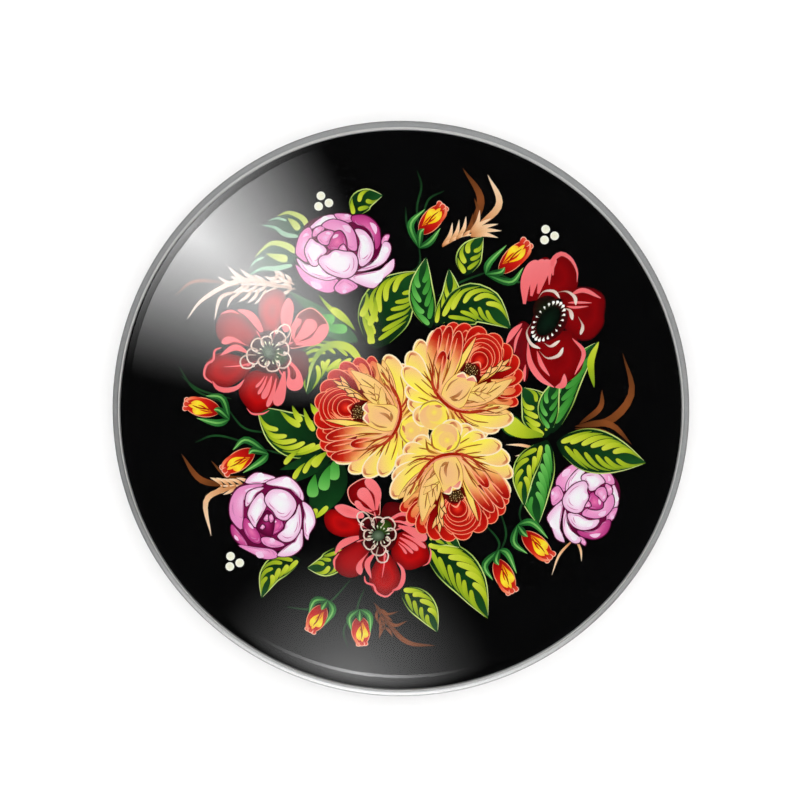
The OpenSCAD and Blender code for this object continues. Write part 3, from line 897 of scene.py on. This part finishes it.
def bud(name, joint, foot, tip):
    """A red bud with a yellow flame, held by green sepals that spring from its joint."""
    picture = Picture(name, "bud_ink")
    foot, tip = np.array(foot, float), np.array(tip, float)
    reach = tip - foot
    across = np.array([-reach[1], reach[0]])
    petal(picture, foot - reach * 0.06, tip - reach * 0.04, 0.78, ["8c0808", "c01410", "e03018", "c81410"],
          "f0a078", 0.035, shape="oval")
    for off in (-0.11, 0.12, 0.0):
        frill = tip + across * off
        petal(picture, frill - reach * 0.26, frill - reach * 0.01, 0.2, ["c01410", "d83020", "e85038"],
              "fcc0a8", 0.035)
    for off, length, w in ((-0.06, 0.8, 0.2), (0.1, 0.72, 0.28), (0.02, 0.86, 0.18)):
        stroke(picture,
               [foot + reach * 0.14 + across * 0.1, foot + reach * 0.5 + across * off * 1.6,
                foot + reach * length + across * off], w, ["f07818", "fcc818", "ffe838", "fcc030"], "drop")
    stroke(picture,
           [foot + reach * 0.4 - across * 0.24, foot + reach * 0.8 - across * 0.2, tip - across * 0.04],
           0.12, ["d02010", "f87850", "f8b090"], "brush")
    stroke(picture, [foot + reach * 0.1, foot + reach * 0.5 + across * 0.04, foot + reach * 0.75], 0.06,
           "a01008")
    for sign, length, fill in ((1, 0.55, "2e7c34"), (-1, 0.42, "24642c"), (0, 0.12, "1c5424")):
        path = [joint, foot - reach * 0.05 + across * 0.36 * sign,
                foot + reach * length + across * 0.34 * sign]
        stroke(picture, path, 0.3, ["164a1e", fill, "4c9c40"], "leaf")
        stroke(picture, path, 0.08, ["2c7434", "70b858", "a8d888"], "leaf")
    return picture


def feather(picture, spine, count, reach, width, colours):
    """A wheat-like spray: a thin spine and slim barbs that lean forward on both sides of it."""
    stroke(picture, spine, width * 0.6, colours, "line")
    line = smooth(spine, 21)
    left, ahead = normals(line), np.gradient(line, axis=0)
    ahead /= np.linalg.norm(ahead, axis=1, keepdims=True)
    for i in range(count):
        k = int(20 * (i + 0.5) / count)
        for sign in (1, -1):
            tip = line[k] + reach * (ahead[k] * 0.85 + left[k] * 0.5 * sign)
            stroke(picture, bowed(line[k], tip, 0.08 * sign), width, colours, "leaf", count=10)


def leaf(picture, foot, tip, width, bow, pulls, tone=LIME, rims=True, sides=(1, -1)):
    """A dark leaf painted over with lighter teardrops, fat at its midrib and thin at its edges."""
    foot, tip = np.array(foot, float), np.array(tip, float)
    petal(picture, foot, tip, width, DARK_LEAF, bow=bow, shape="leaf")
    line = smooth(bowed(foot, tip, bow), 41)
    spread = (width / 2 * np.sin(math.pi * np.linspace(0, 1, 41)**0.8)**0.9)[:, None] * normals(line)
    step = 0.7 / pulls

    def at(t, off):
        """A point a share t along the leaf and off of the way from its midrib to its edge."""
        return (line + spread * off)[int(40 * min(t, 1))]

    for i in range(pulls):
        for sign in sides:
            t = 0.05 + step * (i + (0.45 if sign < 0 else 0))
            path = [at(t, 0.16 * sign), at(t + 0.1, 0.5 * sign), at(t + 0.2, 0.72 * sign),
                    at(t + 0.32, 0.88 * sign)]
            width_here = np.linalg.norm(tip - foot) * step * (0.52 if sign > 0 else 0.4)
            stroke(picture, path, min(width_here, width * 0.2), tone[::-1] if sign > 0 else tone[1::-1],
                   "comma")
    for sign in (1, -1) if rims else ():
        stroke(picture, [at(0.1 + 0.18 * k, sign) for k in range(6)], 0.045, ["688c30", "c8dc78", "dce8a0"],
               "brush", count=20)


def drops(picture, ends, width, tone=LIME, bow=0.05):
    """Teardrops, each from its fat foot to its thin tip."""
    for foot, tip in ends:
        stroke(picture, bowed(foot, tip, bow), width, tone[::-1], "comma")


def plain_leaf(picture, foot, tip, width, tone):
    """A single broad stroke with a lighter half."""
    petal(picture, foot, tip, width, tone, shape="leaf", side=tone[:2])


def blades(picture, foot, tips, width, colours, bow):
    """Thin blades that spring from one foot, bowed left and right by turns."""
    for i, tip in enumerate(tips):
        stroke(picture, bowed(foot, tip, bow * (1 if i % 2 else -1)), width, colours, "leaf", count=18)


STRAW = ["c87a44", "f8c898", "fbe0c0"]
BROWN = ["4c2810", "8c4c24", "5c3418"]


def make_pictures():
    """Every motif of the bouquet, from the back of the picture to the front."""
    pictures = []

    def group(name, node):
        pictures.append(Picture(name, node))
        return pictures[-1]

    stems = group("stems_and_tendrils", "spray_ink")
    for line in [[(0.8, 7.3), (0.7, 6.2), (-1.0, 5.6), (-1.9, 4.6)],
                 [(0.9, 7.3), (0.7, 8.8), (0.9, 9.8), (0.7, 10.5)], [(0.9, 8.2), (1.2, 9.2), (1.9, 9.6)],
                 [(0.8, 7.3), (0.3, 8.0), (0.2, 8.9)], [(3.9, 6.1), (2.6, 5.6), (1.6, 5.0)],
                 [(4.2, 6.0), (5.2, 5.6), (5.9, 5.9)], [(-7.6, 0.1), (-6.8, -0.8), (-5.4, -1.0)],
                 [(-7.7, 0.3), (-9.0, 0.9), (-9.7, 1.9)], [(-6.0, -1.7), (-5.0, -1.9), (-3.9, -1.6)],
                 [(-6.2, -1.6), (-8.0, -1.1), (-9.0, -1.4)],
                 [(5.3, -5.0), (5.2, -4.4), (5.6, -3.4), (6.2, -2.0)],
                 [(4.3, -4.3), (4.6, -5.4), (4.3, -6.3)], [(3.6, -4.9), (4.3, -5.8), (3.9, -6.6)],
                 [(-2.2, -7.4), (-2.9, -8.2), (-3.3, -8.5)], [(-1.6, -7.8), (-1.9, -8.6), (-1.8, -9.1)],
                 [(-1.9, -8.6), (-2.5, -9.6), (-2.3, -10.4)], [(-3.0, -8.4), (-3.9, -8.7), (-5.0, -8.6)],
                 [(-9.6, 1.5), (-8.8, 0.9), (-7.4, 0.5)]]:
        stroke(stems, line, 0.08, ["14301a", "1e4a24", "14301a"], "line", count=24)

    spray = group("spray_left", "spray_ink")
    stroke(spray, [(-7.4, 5.55), (-9.0, 5.65), (-9.9, 5.0)], 0.14, BROWN, "leaf", count=18)
    feather(spray, [(-4.65, 5.5), (-5.1, 5.7), (-5.5, 5.9)], 3, 0.5, 0.16, CREAM)
    feather(spray, [(-4.6, 5.3), (-6.1, 5.5), (-7.0, 5.5)], 6, 0.75, 0.15, CREAM)
    for foot, tip in [((-6.1, 5.7), (-7.05, 6.2)), ((-6.7, 5.7), (-7.55, 6.3)), ((-7.1, 5.5), (-8.0, 5.85)),
                      ((-5.6, 5.3), (-6.0, 4.6)), ((-5.9, 5.3), (-6.4, 4.65)), ((-6.2, 5.3), (-6.7, 4.7)),
                      ((-6.5, 5.3), (-7.1, 4.75))]:
        stroke(spray, bowed(foot, tip, 0.1), 0.15, CREAM, "leaf", count=10)
    strokes(spray, [([(-4.6, 5.3), (-6.9, 5.7), (-8.6, 4.9), (-9.35, 4.0)], 0.2),
                    ([(-7.2, 5.2), (-7.9, 4.9), (-8.15, 3.95)], 0.16),
                    ([(-6.9, 5.2), (-7.4, 4.9), (-7.6, 4.5)], 0.13)], CREAM, "leaf", 18)

    spray = group("spray_top", "spray_ink")
    stroke(spray, [(2.9, 7.7), (3.5, 9.2), (2.7, 10.6)], 0.32, BROWN, "leaf", count=18)
    stroke(spray, [(3.1, 7.9), (3.4, 8.6), (3.2, 9.3)], 0.18, BROWN, "leaf")
    stroke(spray, [(3.2, 7.9), (4.3, 9.0), (3.8, 10.3)], 0.3, STRAW, "leaf", count=18)
    stroke(spray, [(1.8, 7.15), (2.6, 7.6), (3.4, 7.7)], 0.08, STRAW, "line")
    for i in range(5):
        foot = np.array([1.8 + 0.3 * i, 7.2 + 0.14 * i])
        stroke(spray, bowed(foot, foot + (0.45, 1.0), -0.12), 0.17, BROWN if i == 3 else STRAW, "leaf",
               count=14)
        stroke(spray, bowed(foot, foot + (0.6, 0.25), 0.1), 0.12, STRAW, "leaf", count=10)
    for tip in ((4.4, 7.85), (4.25, 8.15), (3.95, 8.4), (4.25, 7.55)):
        stroke(spray, bowed((3.05, 7.6), tip, 0.1), 0.19, STRAW, "leaf", count=14)

    spray = group("spray_lower_left", "spray_ink")
    stroke(spray, [(-7.6, -3.3), (-8.8, -3.0), (-9.6, -1.9)], 0.26, BROWN, "leaf", count=18)
    stroke(spray, [(-6.8, -2.9), (-7.6, -2.9), (-8.3, -2.2)], 0.16, BROWN, "leaf")
    feather(spray, [(-6.4, -3.2), (-7.2, -3.3), (-7.9, -3.3)], 5, 0.7, 0.14, STRAW)
    stroke(spray, [(-7.2, -3.3), (-8.5, -3.9), (-8.3, -5.5)], 0.24, STRAW, "leaf", count=18)

    spray = group("spray_right", "spray_ink")
    strokes(spray, [([(7.7, -0.7), (9.2, -0.4), (10.1, 0.8), (9.7, 2.5)], 0.34),
                    ([(7.8, -0.6), (8.7, 0.1), (8.8, 0.9)], 0.24),
                    ([(7.6, -0.7), (9.1, -0.6), (10.1, -1.5)], 0.28),
                    ([(7.6, -0.8), (8.8, -0.9), (9.8, -1.4)], 0.14)], BROWN, "leaf", 18)
    blades(spray, (6.0, -1.7), [(4.6, -1.5), (5.0, -2.0)], 0.12, STRAW, 0.05)

    spray = group("spray_bottom", "spray_ink")
    feather(spray, [(-1.1, -8.6), (-0.8, -9.1), (-0.7, -9.6)], 4, 0.6, 0.12, BROWN)
    strokes(spray, [([(-0.9, -8.9), (0.2, -10.1), (1.5, -10.3)], 0.2),
                    ([(-0.9, -8.9), (-0.3, -9.4), (0.3, -9.2)], 0.14),
                    ([(-1.2, -8.4), (-0.7, -8.9), (-0.1, -8.8)], 0.12)], BROWN, "leaf", 18)
    blades(spray, (7.6, -5.6), [(7.9, -6.6), (6.6, -7.2)], 0.1, STRAW, -0.1)

    left = group("leaves_upper_left", "leaf_ink")
    # The two upper leaves lie in the haze of the light, so they are painted paler
    shade = ["24503a", "285438", "1c4430"]
    sage = ["a8ccae", "8cb498", "74a488"]
    pale = ["d6de88", "c2ce68", "a4b44c"]
    petal(left, (-4.1, 7.8), (-6.0, 8.05), 0.95, shade, bow=-0.1, shape="leaf")
    petal(left, (-4.5, 6.75), (-6.65, 6.0), 1.15, shade, bow=-0.12, shape="leaf")
    for line, width, tone in [
            ([(-4.05, 7.95), (-4.3, 8.4), (-4.9, 8.65), (-5.4, 8.5)], 0.24, pale),
            ([(-4.45, 7.9), (-4.7, 8.2), (-4.95, 8.4)], 0.3, pale),
            ([(-4.5, 7.6), (-5.1, 7.7), (-5.5, 8.0), (-6.1, 8.1)], 0.2, sage),
            ([(-5.0, 8.3), (-5.4, 8.4), (-5.8, 8.3)], 0.1, sage),
            ([(-4.6, 6.9), (-5.0, 7.2), (-5.7, 7.3), (-6.4, 6.7)], 0.28, pale),
            ([(-4.95, 6.6), (-5.4, 6.7), (-5.9, 6.85)], 0.34, pale),
            ([(-6.0, 6.7), (-6.4, 6.5), (-6.6, 6.2)], 0.1, sage),
            ([(-4.75, 6.35), (-5.5, 6.2), (-6.1, 6.2), (-6.7, 5.85)], 0.22, sage)]:
        stroke(left, line, width, tone, "comma")
    leaf(left, (-2.1, 8.5), (-0.8, 9.4), 0.95, 0.2, 2)
    # These two leaves also lie in the glare, so their paler green is painted reflection.
    plain_leaf(left, (-1.9, 3.1), (-4.9, 5.2), 0.6, GLARE_PALED_LEAF)
    plain_leaf(left, (-1.9, 3.0), (-4.4, 4.2), 0.7, GLARE_PALED_LEAF)
    drops(left, [((-2.3, 3.85), (-3.6, 5.05))], 0.24)
    drops(left, [((-3.05, 4.45), (-2.0, 3.5))], 0.34)
    drops(left, [((-2.35, 3.55), (-3.6, 3.75)), ((-2.9, 3.95), (-3.7, 4.2))], 0.42, GREEN)
    leaf(left, (-2.0, 2.3), (-4.1, 0.7), 1.7, -0.35, 5, rims=False)
    stroke(left, [(-1.75, 2.15), (-2.3, 2.75), (-3.1, 2.85), (-3.8, 2.2), (-4.15, 0.8)], 0.34,
           LIME[::-1] + ["e0e8a8"], "comma", count=24)

    top = group("leaves_top", "leaf_ink")
    leaf(top, (-1.2, 2.7), (1.0, 6.1), 2.3, 0.12, 6)
    drops(top, [((-1.35, 2.9), (-1.55, 4.0)), ((-1.4, 3.7), (-1.15, 5.0)), ((-1.75, 4.1), (-1.5, 5.2))],
          0.28, LIME, -0.12)
    leaf(top, (1.3, 3.6), (1.1, 6.7), 1.1, 0.1, 4, GREEN)
    leaf(top, (1.5, 3.7), (2.1, 6.2), 0.9, -0.15, 3)
    leaf(top, (1.7, 4.0), (4.8, 3.6), 1.8, 0.28, 5)
    leaf(top, (2.8, 5.9), (3.6, 7.6), 1.1, 0.1, 3)

    lower = group("leaves_lower_left", "leaf_ink")
    leaf(lower, (-3.2, -1.5), (-6.3, 0.15), 1.9, 0.1, 6, sides=(1,))
    drops(lower, [((-3.8, -0.9), (-4.25, 0.1)), ((-4.35, -0.5), (-4.75, 0.2)), ((-3.6, -0.2), (-3.95, 0.3)),
                  ((-4.4, -0.7), (-5.3, 0.0))], 0.27)
    for foot, tip in [((-3.0, -1.9), (-5.3, -2.6)), ((-3.0, -2.0), (-4.9, -3.2))]:
        plain_leaf(lower, foot, tip, 0.5, DARK_LEAF)
    drops(lower,
          [((-5.1, -2.35), (-4.4, -1.7)), ((-4.25, -2.75), (-3.7, -1.95)), ((-4.7, -3.0), (-4.2, -2.3))],
          0.22)
    drops(lower, [((-3.85, -2.45), (-3.2, -1.8))], 0.36)
    plain_leaf(lower, (-2.6, -2.2), (-3.9, -4.8), 1.5, DARK_LEAF)
    drops(lower,
          [((-2.95, -3.05), (-2.75, -2.0)), ((-3.4, -3.5), (-3.1, -2.4)), ((-3.85, -3.8), (-3.75, -2.8))],
          0.5, GREEN)
    drops(lower, [((-3.7, -4.3), (-3.95, -4.75)), ((-3.2, -4.2), (-3.95, -4.8))], 0.22)
    leaf(lower, (-2.6, -6.0), (-4.1, -6.9), 1.0, 0.2, 3)
    leaf(lower, (-4.4, -6.5), (-6.1, -8.2), 1.0, -0.2, 4)

    right = group("leaves_right", "leaf_ink")
    leaf(right, (6.3, -1.2), (5.3, 1.0), 1.6, -0.1, 4)
    petal(right, (6.2, -1.1), (4.5, -0.4), 0.75, LIME, "1c5420", 0.06, 0.1)
    leaf(right, (6.6, -1.0), (8.6, 3.0), 1.3, 0.1, 6, GREEN)
    leaf(right, (6.5, -0.9), (6.9, 1.4), 0.9, 0.1, 3, GREEN)
    stroke(right, [(8.45, 1.0), (8.3, 2.1), (8.65, 3.0)], 0.3, LIME, "brush")
    leaf(right, (6.4, -1.3), (6.0, -5.0), 1.6, -0.1, 6, GREEN)
    leaf(right, (6.2, -1.4), (5.4, -4.2), 1.0, -0.15, 4)

    bottom = group("leaves_bottom", "leaf_ink")
    leaf(bottom, (1.0, -5.8), (3.8, -9.1), 1.7, 0.1, 6)
    leaf(bottom, (0.0, -7.8), (1.6, -9.7), 1.1, 0.1, 4)
    leaf(bottom, (1.2, -5.7), (2.6, -6.0), 0.7, 0.2, 2)

    pictures.append(open_poppy("poppy_left", (-5.75, 2.5), 0, 1))
    pictures.append(tilted_poppy("poppy_right", (6.5, 4.0)))
    pictures.append(open_poppy("poppy_bottom", (-0.95, -5.45), 77, 0.9))
    pictures.append(peony("peony_top", TALL_PEONY, (-2.6, 6.85), 0, 1))
    pictures.append(peony("peony_lower_left", ROUND_PEONY, (-5.65, -4.65), 0, 1))
    pictures.append(peony("peony_lower_right", TALL_PEONY, (8.0, -4.0), -110, 0.85))
    big = group("leaf_over_peony", "leaf_ink")
    leaf(big, (6.8, -1.4), (10.7, -2.3), 1.9, 0.0, 6)

    for name, joint, foot, tip in [("bud_top", (0.8, 7.1), (0.9, 7.8), (1.9, 9.0)),
                                   ("bud_top_right", (3.7, 5.95), (4.4, 6.1), (5.6, 7.4)),
                                   ("bud_left", (-7.5, -0.4), (-8.0, 0.0), (-9.5, 0.3)),
                                   ("bud_lower_left", (-5.8, -1.9), (-6.5, -1.8), (-7.8, -2.7)),
                                   ("bud_lower_right", (5.1, -5.0), (5.4, -5.4), (6.6, -6.5)),
                                   ("bud_bottom_right", (4.3, -6.1), (4.2, -6.6), (4.9, -8.0)),
                                   ("bud_bottom_left", (-3.2, -8.3), (-3.4, -8.6), (-4.0, -9.7)),
                                   ("bud_bottom", (-1.8, -8.7), (-1.8, -9.1), (-1.7, -10.3))]:
        pictures.append(bud(name, joint, foot, tip))

    pictures.append(dahlia("dahlia_left", (-1.9, 0.0), 0))
    pictures.append(dahlia("dahlia_right", (3.15, 1.75), -112))
    pictures.append(dahlia("dahlia_bottom", (2.35, -3.8), 118))

    dots = group("dots", "dot_ink")
    for x, y in [(-3.5, 9.38), (-3.15, 9.07), (-3.6, 8.92), (6.33, 7.92), (6.72, 7.63), (6.28, 7.45),
                 (-7.45, -6.38), (-7.05, -6.67), (-7.48, -6.83)]:
        disc(dots, (x, y), 0.19, ["f4f0d8", "fbfbe4", "fdfdf0"])
    return pictures


# ---------------------------------------------------------------------------------------------
# Strokes into meshes
# ---------------------------------------------------------------------------------------------
GROUND_Z = INK_Z + 0.01             # top of the black ground
STROKES_H = 0.035                   # room for the strokes above it
SLAB_SHARE = 0.6                    # a stroke's thickness, as a share of the step between levels
PRINT_LIGHT = 0.91                  # the light that falls on the print, to undo it in the colours


def stack(strokes):
    """The level of each stroke: one above the highest of the earlier strokes whose box it meets."""
    low = np.array([points.min(axis=(0, 1)) for points, _, _ in strokes])
    high = np.array([points.max(axis=(0, 1)) for points, _, _ in strokes])
    levels = np.zeros(len(strokes), int)
    for i in range(len(strokes)):
        meets = ((low[:i] < high[i]) & (high[:i] > low[i])).all(axis=1)
        levels[i] = 1 + levels[:i][meets].max(initial=0)
    return levels


def stroke_mesh(points, colours, closed, z, depth, verts, faces, paint):
    """Adds one stroke as a thin closed slab: its top, a bottom under it and a wall between."""
    rows, columns = points.shape[:2]
    first = len(verts)
    if closed:
        flat = np.concatenate([points[:1, 0], points[1:].reshape(-1, 2)])
        shade = np.concatenate([colours[:1, 0], colours[1:].reshape(-1, 3)])
        ring = [1 + (rows - 2) * columns + j for j in range(columns)]
        for j in range(columns):
            k = (j + 1) % columns
            faces.append((first, first + 1 + j, first + 1 + k))
            for i in range(rows - 2):
                a, b = first + 1 + i * columns, first + 1 + (i + 1) * columns
                faces.append((a + j, b + j, b + k, a + k))
    else:
        flat = points.reshape(-1, 2)
        shade = colours.reshape(-1, 3)
        for i in range(rows - 1):
            for j in range(columns - 1):
                a, b = first + i * columns + j, first + (i + 1) * columns + j
                faces.append((a, a + 1, b + 1, b))
        last = (rows - 1) * columns
        right_side = [i * columns + columns - 1 for i in range(1, rows)]
        far_row = [last + j for j in range(columns - 2, -1, -1)]
        left_side = [i * columns for i in range(rows - 2, 0, -1)]
        ring = list(range(columns)) + right_side + far_row + left_side
    verts.extend((x, y, z) for x, y in flat)
    paint.extend(shade)
    under = len(verts)
    verts.extend((*flat[i], z - depth) for i in ring)
    paint.extend(shade[i] for i in ring)
    count = len(ring)
    for i in range(count):
        k = (i + 1) % count
        faces.append((first + ring[i], first + ring[k], under + k, under + i))
    faces.append([under + i for i in range(count)][::-1])


def build_picture(picture, levels, step):
    """One motif's strokes as one piece, each at the height of its level."""
    verts, faces, paint = [], [], []
    for (points, colours, closed), level in zip(picture.strokes, levels):
        z, depth = GROUND_Z + level * step, step * SLAB_SHARE
        stroke_mesh(printed_at(points), colours, closed, z, depth, verts, faces, paint)
    mesh = bpy.data.meshes.new(picture.name)
    mesh.from_pydata((np.array(verts) * MM).tolist(), [], faces)
    colour = mesh.attributes.new("paint", "FLOAT_COLOR", "POINT")
    light = linear(np.clip(np.array(paint), 0, 1)) / PRINT_LIGHT
    colour.data.foreach_set("color", np.concatenate([light, np.ones((len(light), 1))], axis=1).ravel())
    mesh.materials.append(INK)
    mesh.update()
    piece = bpy.data.objects.new(picture.name, mesh)
    bpy.context.scene.collection.objects.link(piece)
    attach(piece, "root")
    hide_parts(picture.node)


def make_ground():
    """The black ground, as one whole disc under the strokes."""
    material = mottled_material("black_ground_ink", "040404", "09090a", 900, 0.6, 0.0, specular=0)
    ground = lathe("black_ground_print",
                   [(0, INK_Z), (PICTURE_R, INK_Z), (PICTURE_R, GROUND_Z), (0, GROUND_Z)], [material])
    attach(ground, "root")
    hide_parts("black_ground")


def make_print():
    """The ground, and every motif's strokes stacked over it in painting order."""
    make_ground()
    pictures = make_pictures()
    levels = stack([stroke for picture in pictures for stroke in picture.strokes])
    step = STROKES_H / levels.max()
    for picture in pictures:
        build_picture(picture, levels[:len(picture.strokes)], step)
        levels = levels[len(picture.strokes):]


make_print()

# ---------------------------------------------------------------------------------------------
# Floor and light
# ---------------------------------------------------------------------------------------------
FLOOR_R = 600.0
FLOOR_Z = -0.05                     # just under the part, so that their faces don't meet
FLAT_R = 60.0                       # the flat middle, where the part stands
COVE_R = 200.0                      # the curve from the floor up into the wall
WALL_H = 500.0
WALL_T = 5.0
CARD_DISTANCE = 200.0
CARD_STEPS = 48


def make_floor():
    """A pale floor that curves up into a wall all round, kept out of mirror reflections."""
    material = mottled_material("pale_floor", "fbfbfb", "ffffff", 40, 0.9, 0.0)
    cove = arc((FLOOR_R - COVE_R, COVE_R + FLOOR_Z), COVE_R, math.pi, math.pi / 2, 12)
    wall = [(FLOOR_R, WALL_H), (FLOOR_R + WALL_T, WALL_H), (FLOOR_R + WALL_T, -WALL_T), (0, -WALL_T)]
    floor = lathe("floor", [(0, FLOOR_Z), (FLAT_R, FLOOR_Z)] + cove + wall, [material], smooth_from=1)
    floor.visible_glossy = False


def sun(name, direction, strength, width):
    """A broad soft light from a direction, left out of reflections."""
    lamp = bpy.data.objects.new(name, bpy.data.lights.new(name, "SUN"))
    lamp.data.energy = strength
    lamp.data.angle = math.radians(width)
    lamp.rotation_euler = Vector(direction).to_track_quat("Z", "Y").to_euler()
    lamp.visible_glossy = False
    bpy.context.scene.collection.objects.link(lamp)


def glow_card(name, azimuth, elevation, size, strength, below=1.0, above=1.0):
    """A soft-edged light panel aimed at the part, seen only as its reflection in the glass.
    The size is its half width and half height; below and above cut them short."""
    material, tree, surface = new_material(name)
    place = add_node(tree, "TexCoord")
    fade = add_node(tree, "TexGradient")
    fade.gradient_type = "QUADRATIC_SPHERE"
    power = add_node(tree, "MapRange", To_Max=strength)
    light = add_node(tree, "Emission")
    clear = add_node(tree, "BsdfTransparent")
    both = add_node(tree, "AddShader")
    tree.links.new(place.outputs["Object"], fade.inputs["Vector"])
    tree.links.new(fade.outputs["Fac"], power.inputs["Value"])
    tree.links.new(power.outputs["Result"], light.inputs["Strength"])
    tree.links.new(light.outputs["Emission"], both.inputs[0])
    tree.links.new(clear.outputs["BSDF"], both.inputs[1])
    tree.links.new(both.outputs["Shader"], surface)
    corners = [(0, 0, 0)] + [(math.cos(a), min(max(math.sin(a), -below), above), 0)
                             for a in np.arange(CARD_STEPS) * 2 * math.pi / CARD_STEPS]
    faces = [(0, 1 + i, 1 + (i + 1) % CARD_STEPS) for i in range(CARD_STEPS)]
    mesh = bpy.data.meshes.new(name)
    mesh.from_pydata(corners, [], faces)
    mesh.materials.append(material)
    card = bpy.data.objects.new(name, mesh)
    azimuth, elevation = math.radians(azimuth), math.radians(elevation)
    direction = Vector((math.cos(elevation) * math.cos(azimuth),
                        math.cos(elevation) * math.sin(azimuth), math.sin(elevation)))
    card.location = direction * CARD_DISTANCE * MM
    card.rotation_euler = (-direction).to_track_quat("Z", "Y").to_euler()
    card.scale = (size[0] * MM, size[1] * MM, 1 * MM)
    card.visible_camera = False
    card.visible_diffuse = False
    card.visible_transmission = False
    card.visible_shadow = False
    bpy.context.scene.collection.objects.link(card)


def make_light():
    make_floor()
    sun("key_light", (0.35, -0.45, 1), 2.6, 100)
    sun("fill_light", (-0.3, 0.2, 1), 1.1, 150)
    glow_card("upper_left_panel", 137.5, 14, (126, 520), 17, below=0.025)
    glow_card("upper_left_table", 137, 0, (130, 400), 6, above=0.09, below=0.1)
    glow_card("front_panel", 259, 12, (130, 200), 4)
    glow_card("front_strip", 261, 13, (95, 60), 8, above=0.24, below=0.2)
    glow_card("front_table", 262, -50, (260, 120), 4)
    world = bpy.data.worlds.new("studio")
    world.use_nodes = True
    world.node_tree.nodes["Background"].inputs["Color"].default_value = (1, 1, 1, 1)
    world.node_tree.nodes["Background"].inputs["Strength"].default_value = 0.02
    bpy.context.scene.world = world


make_light()
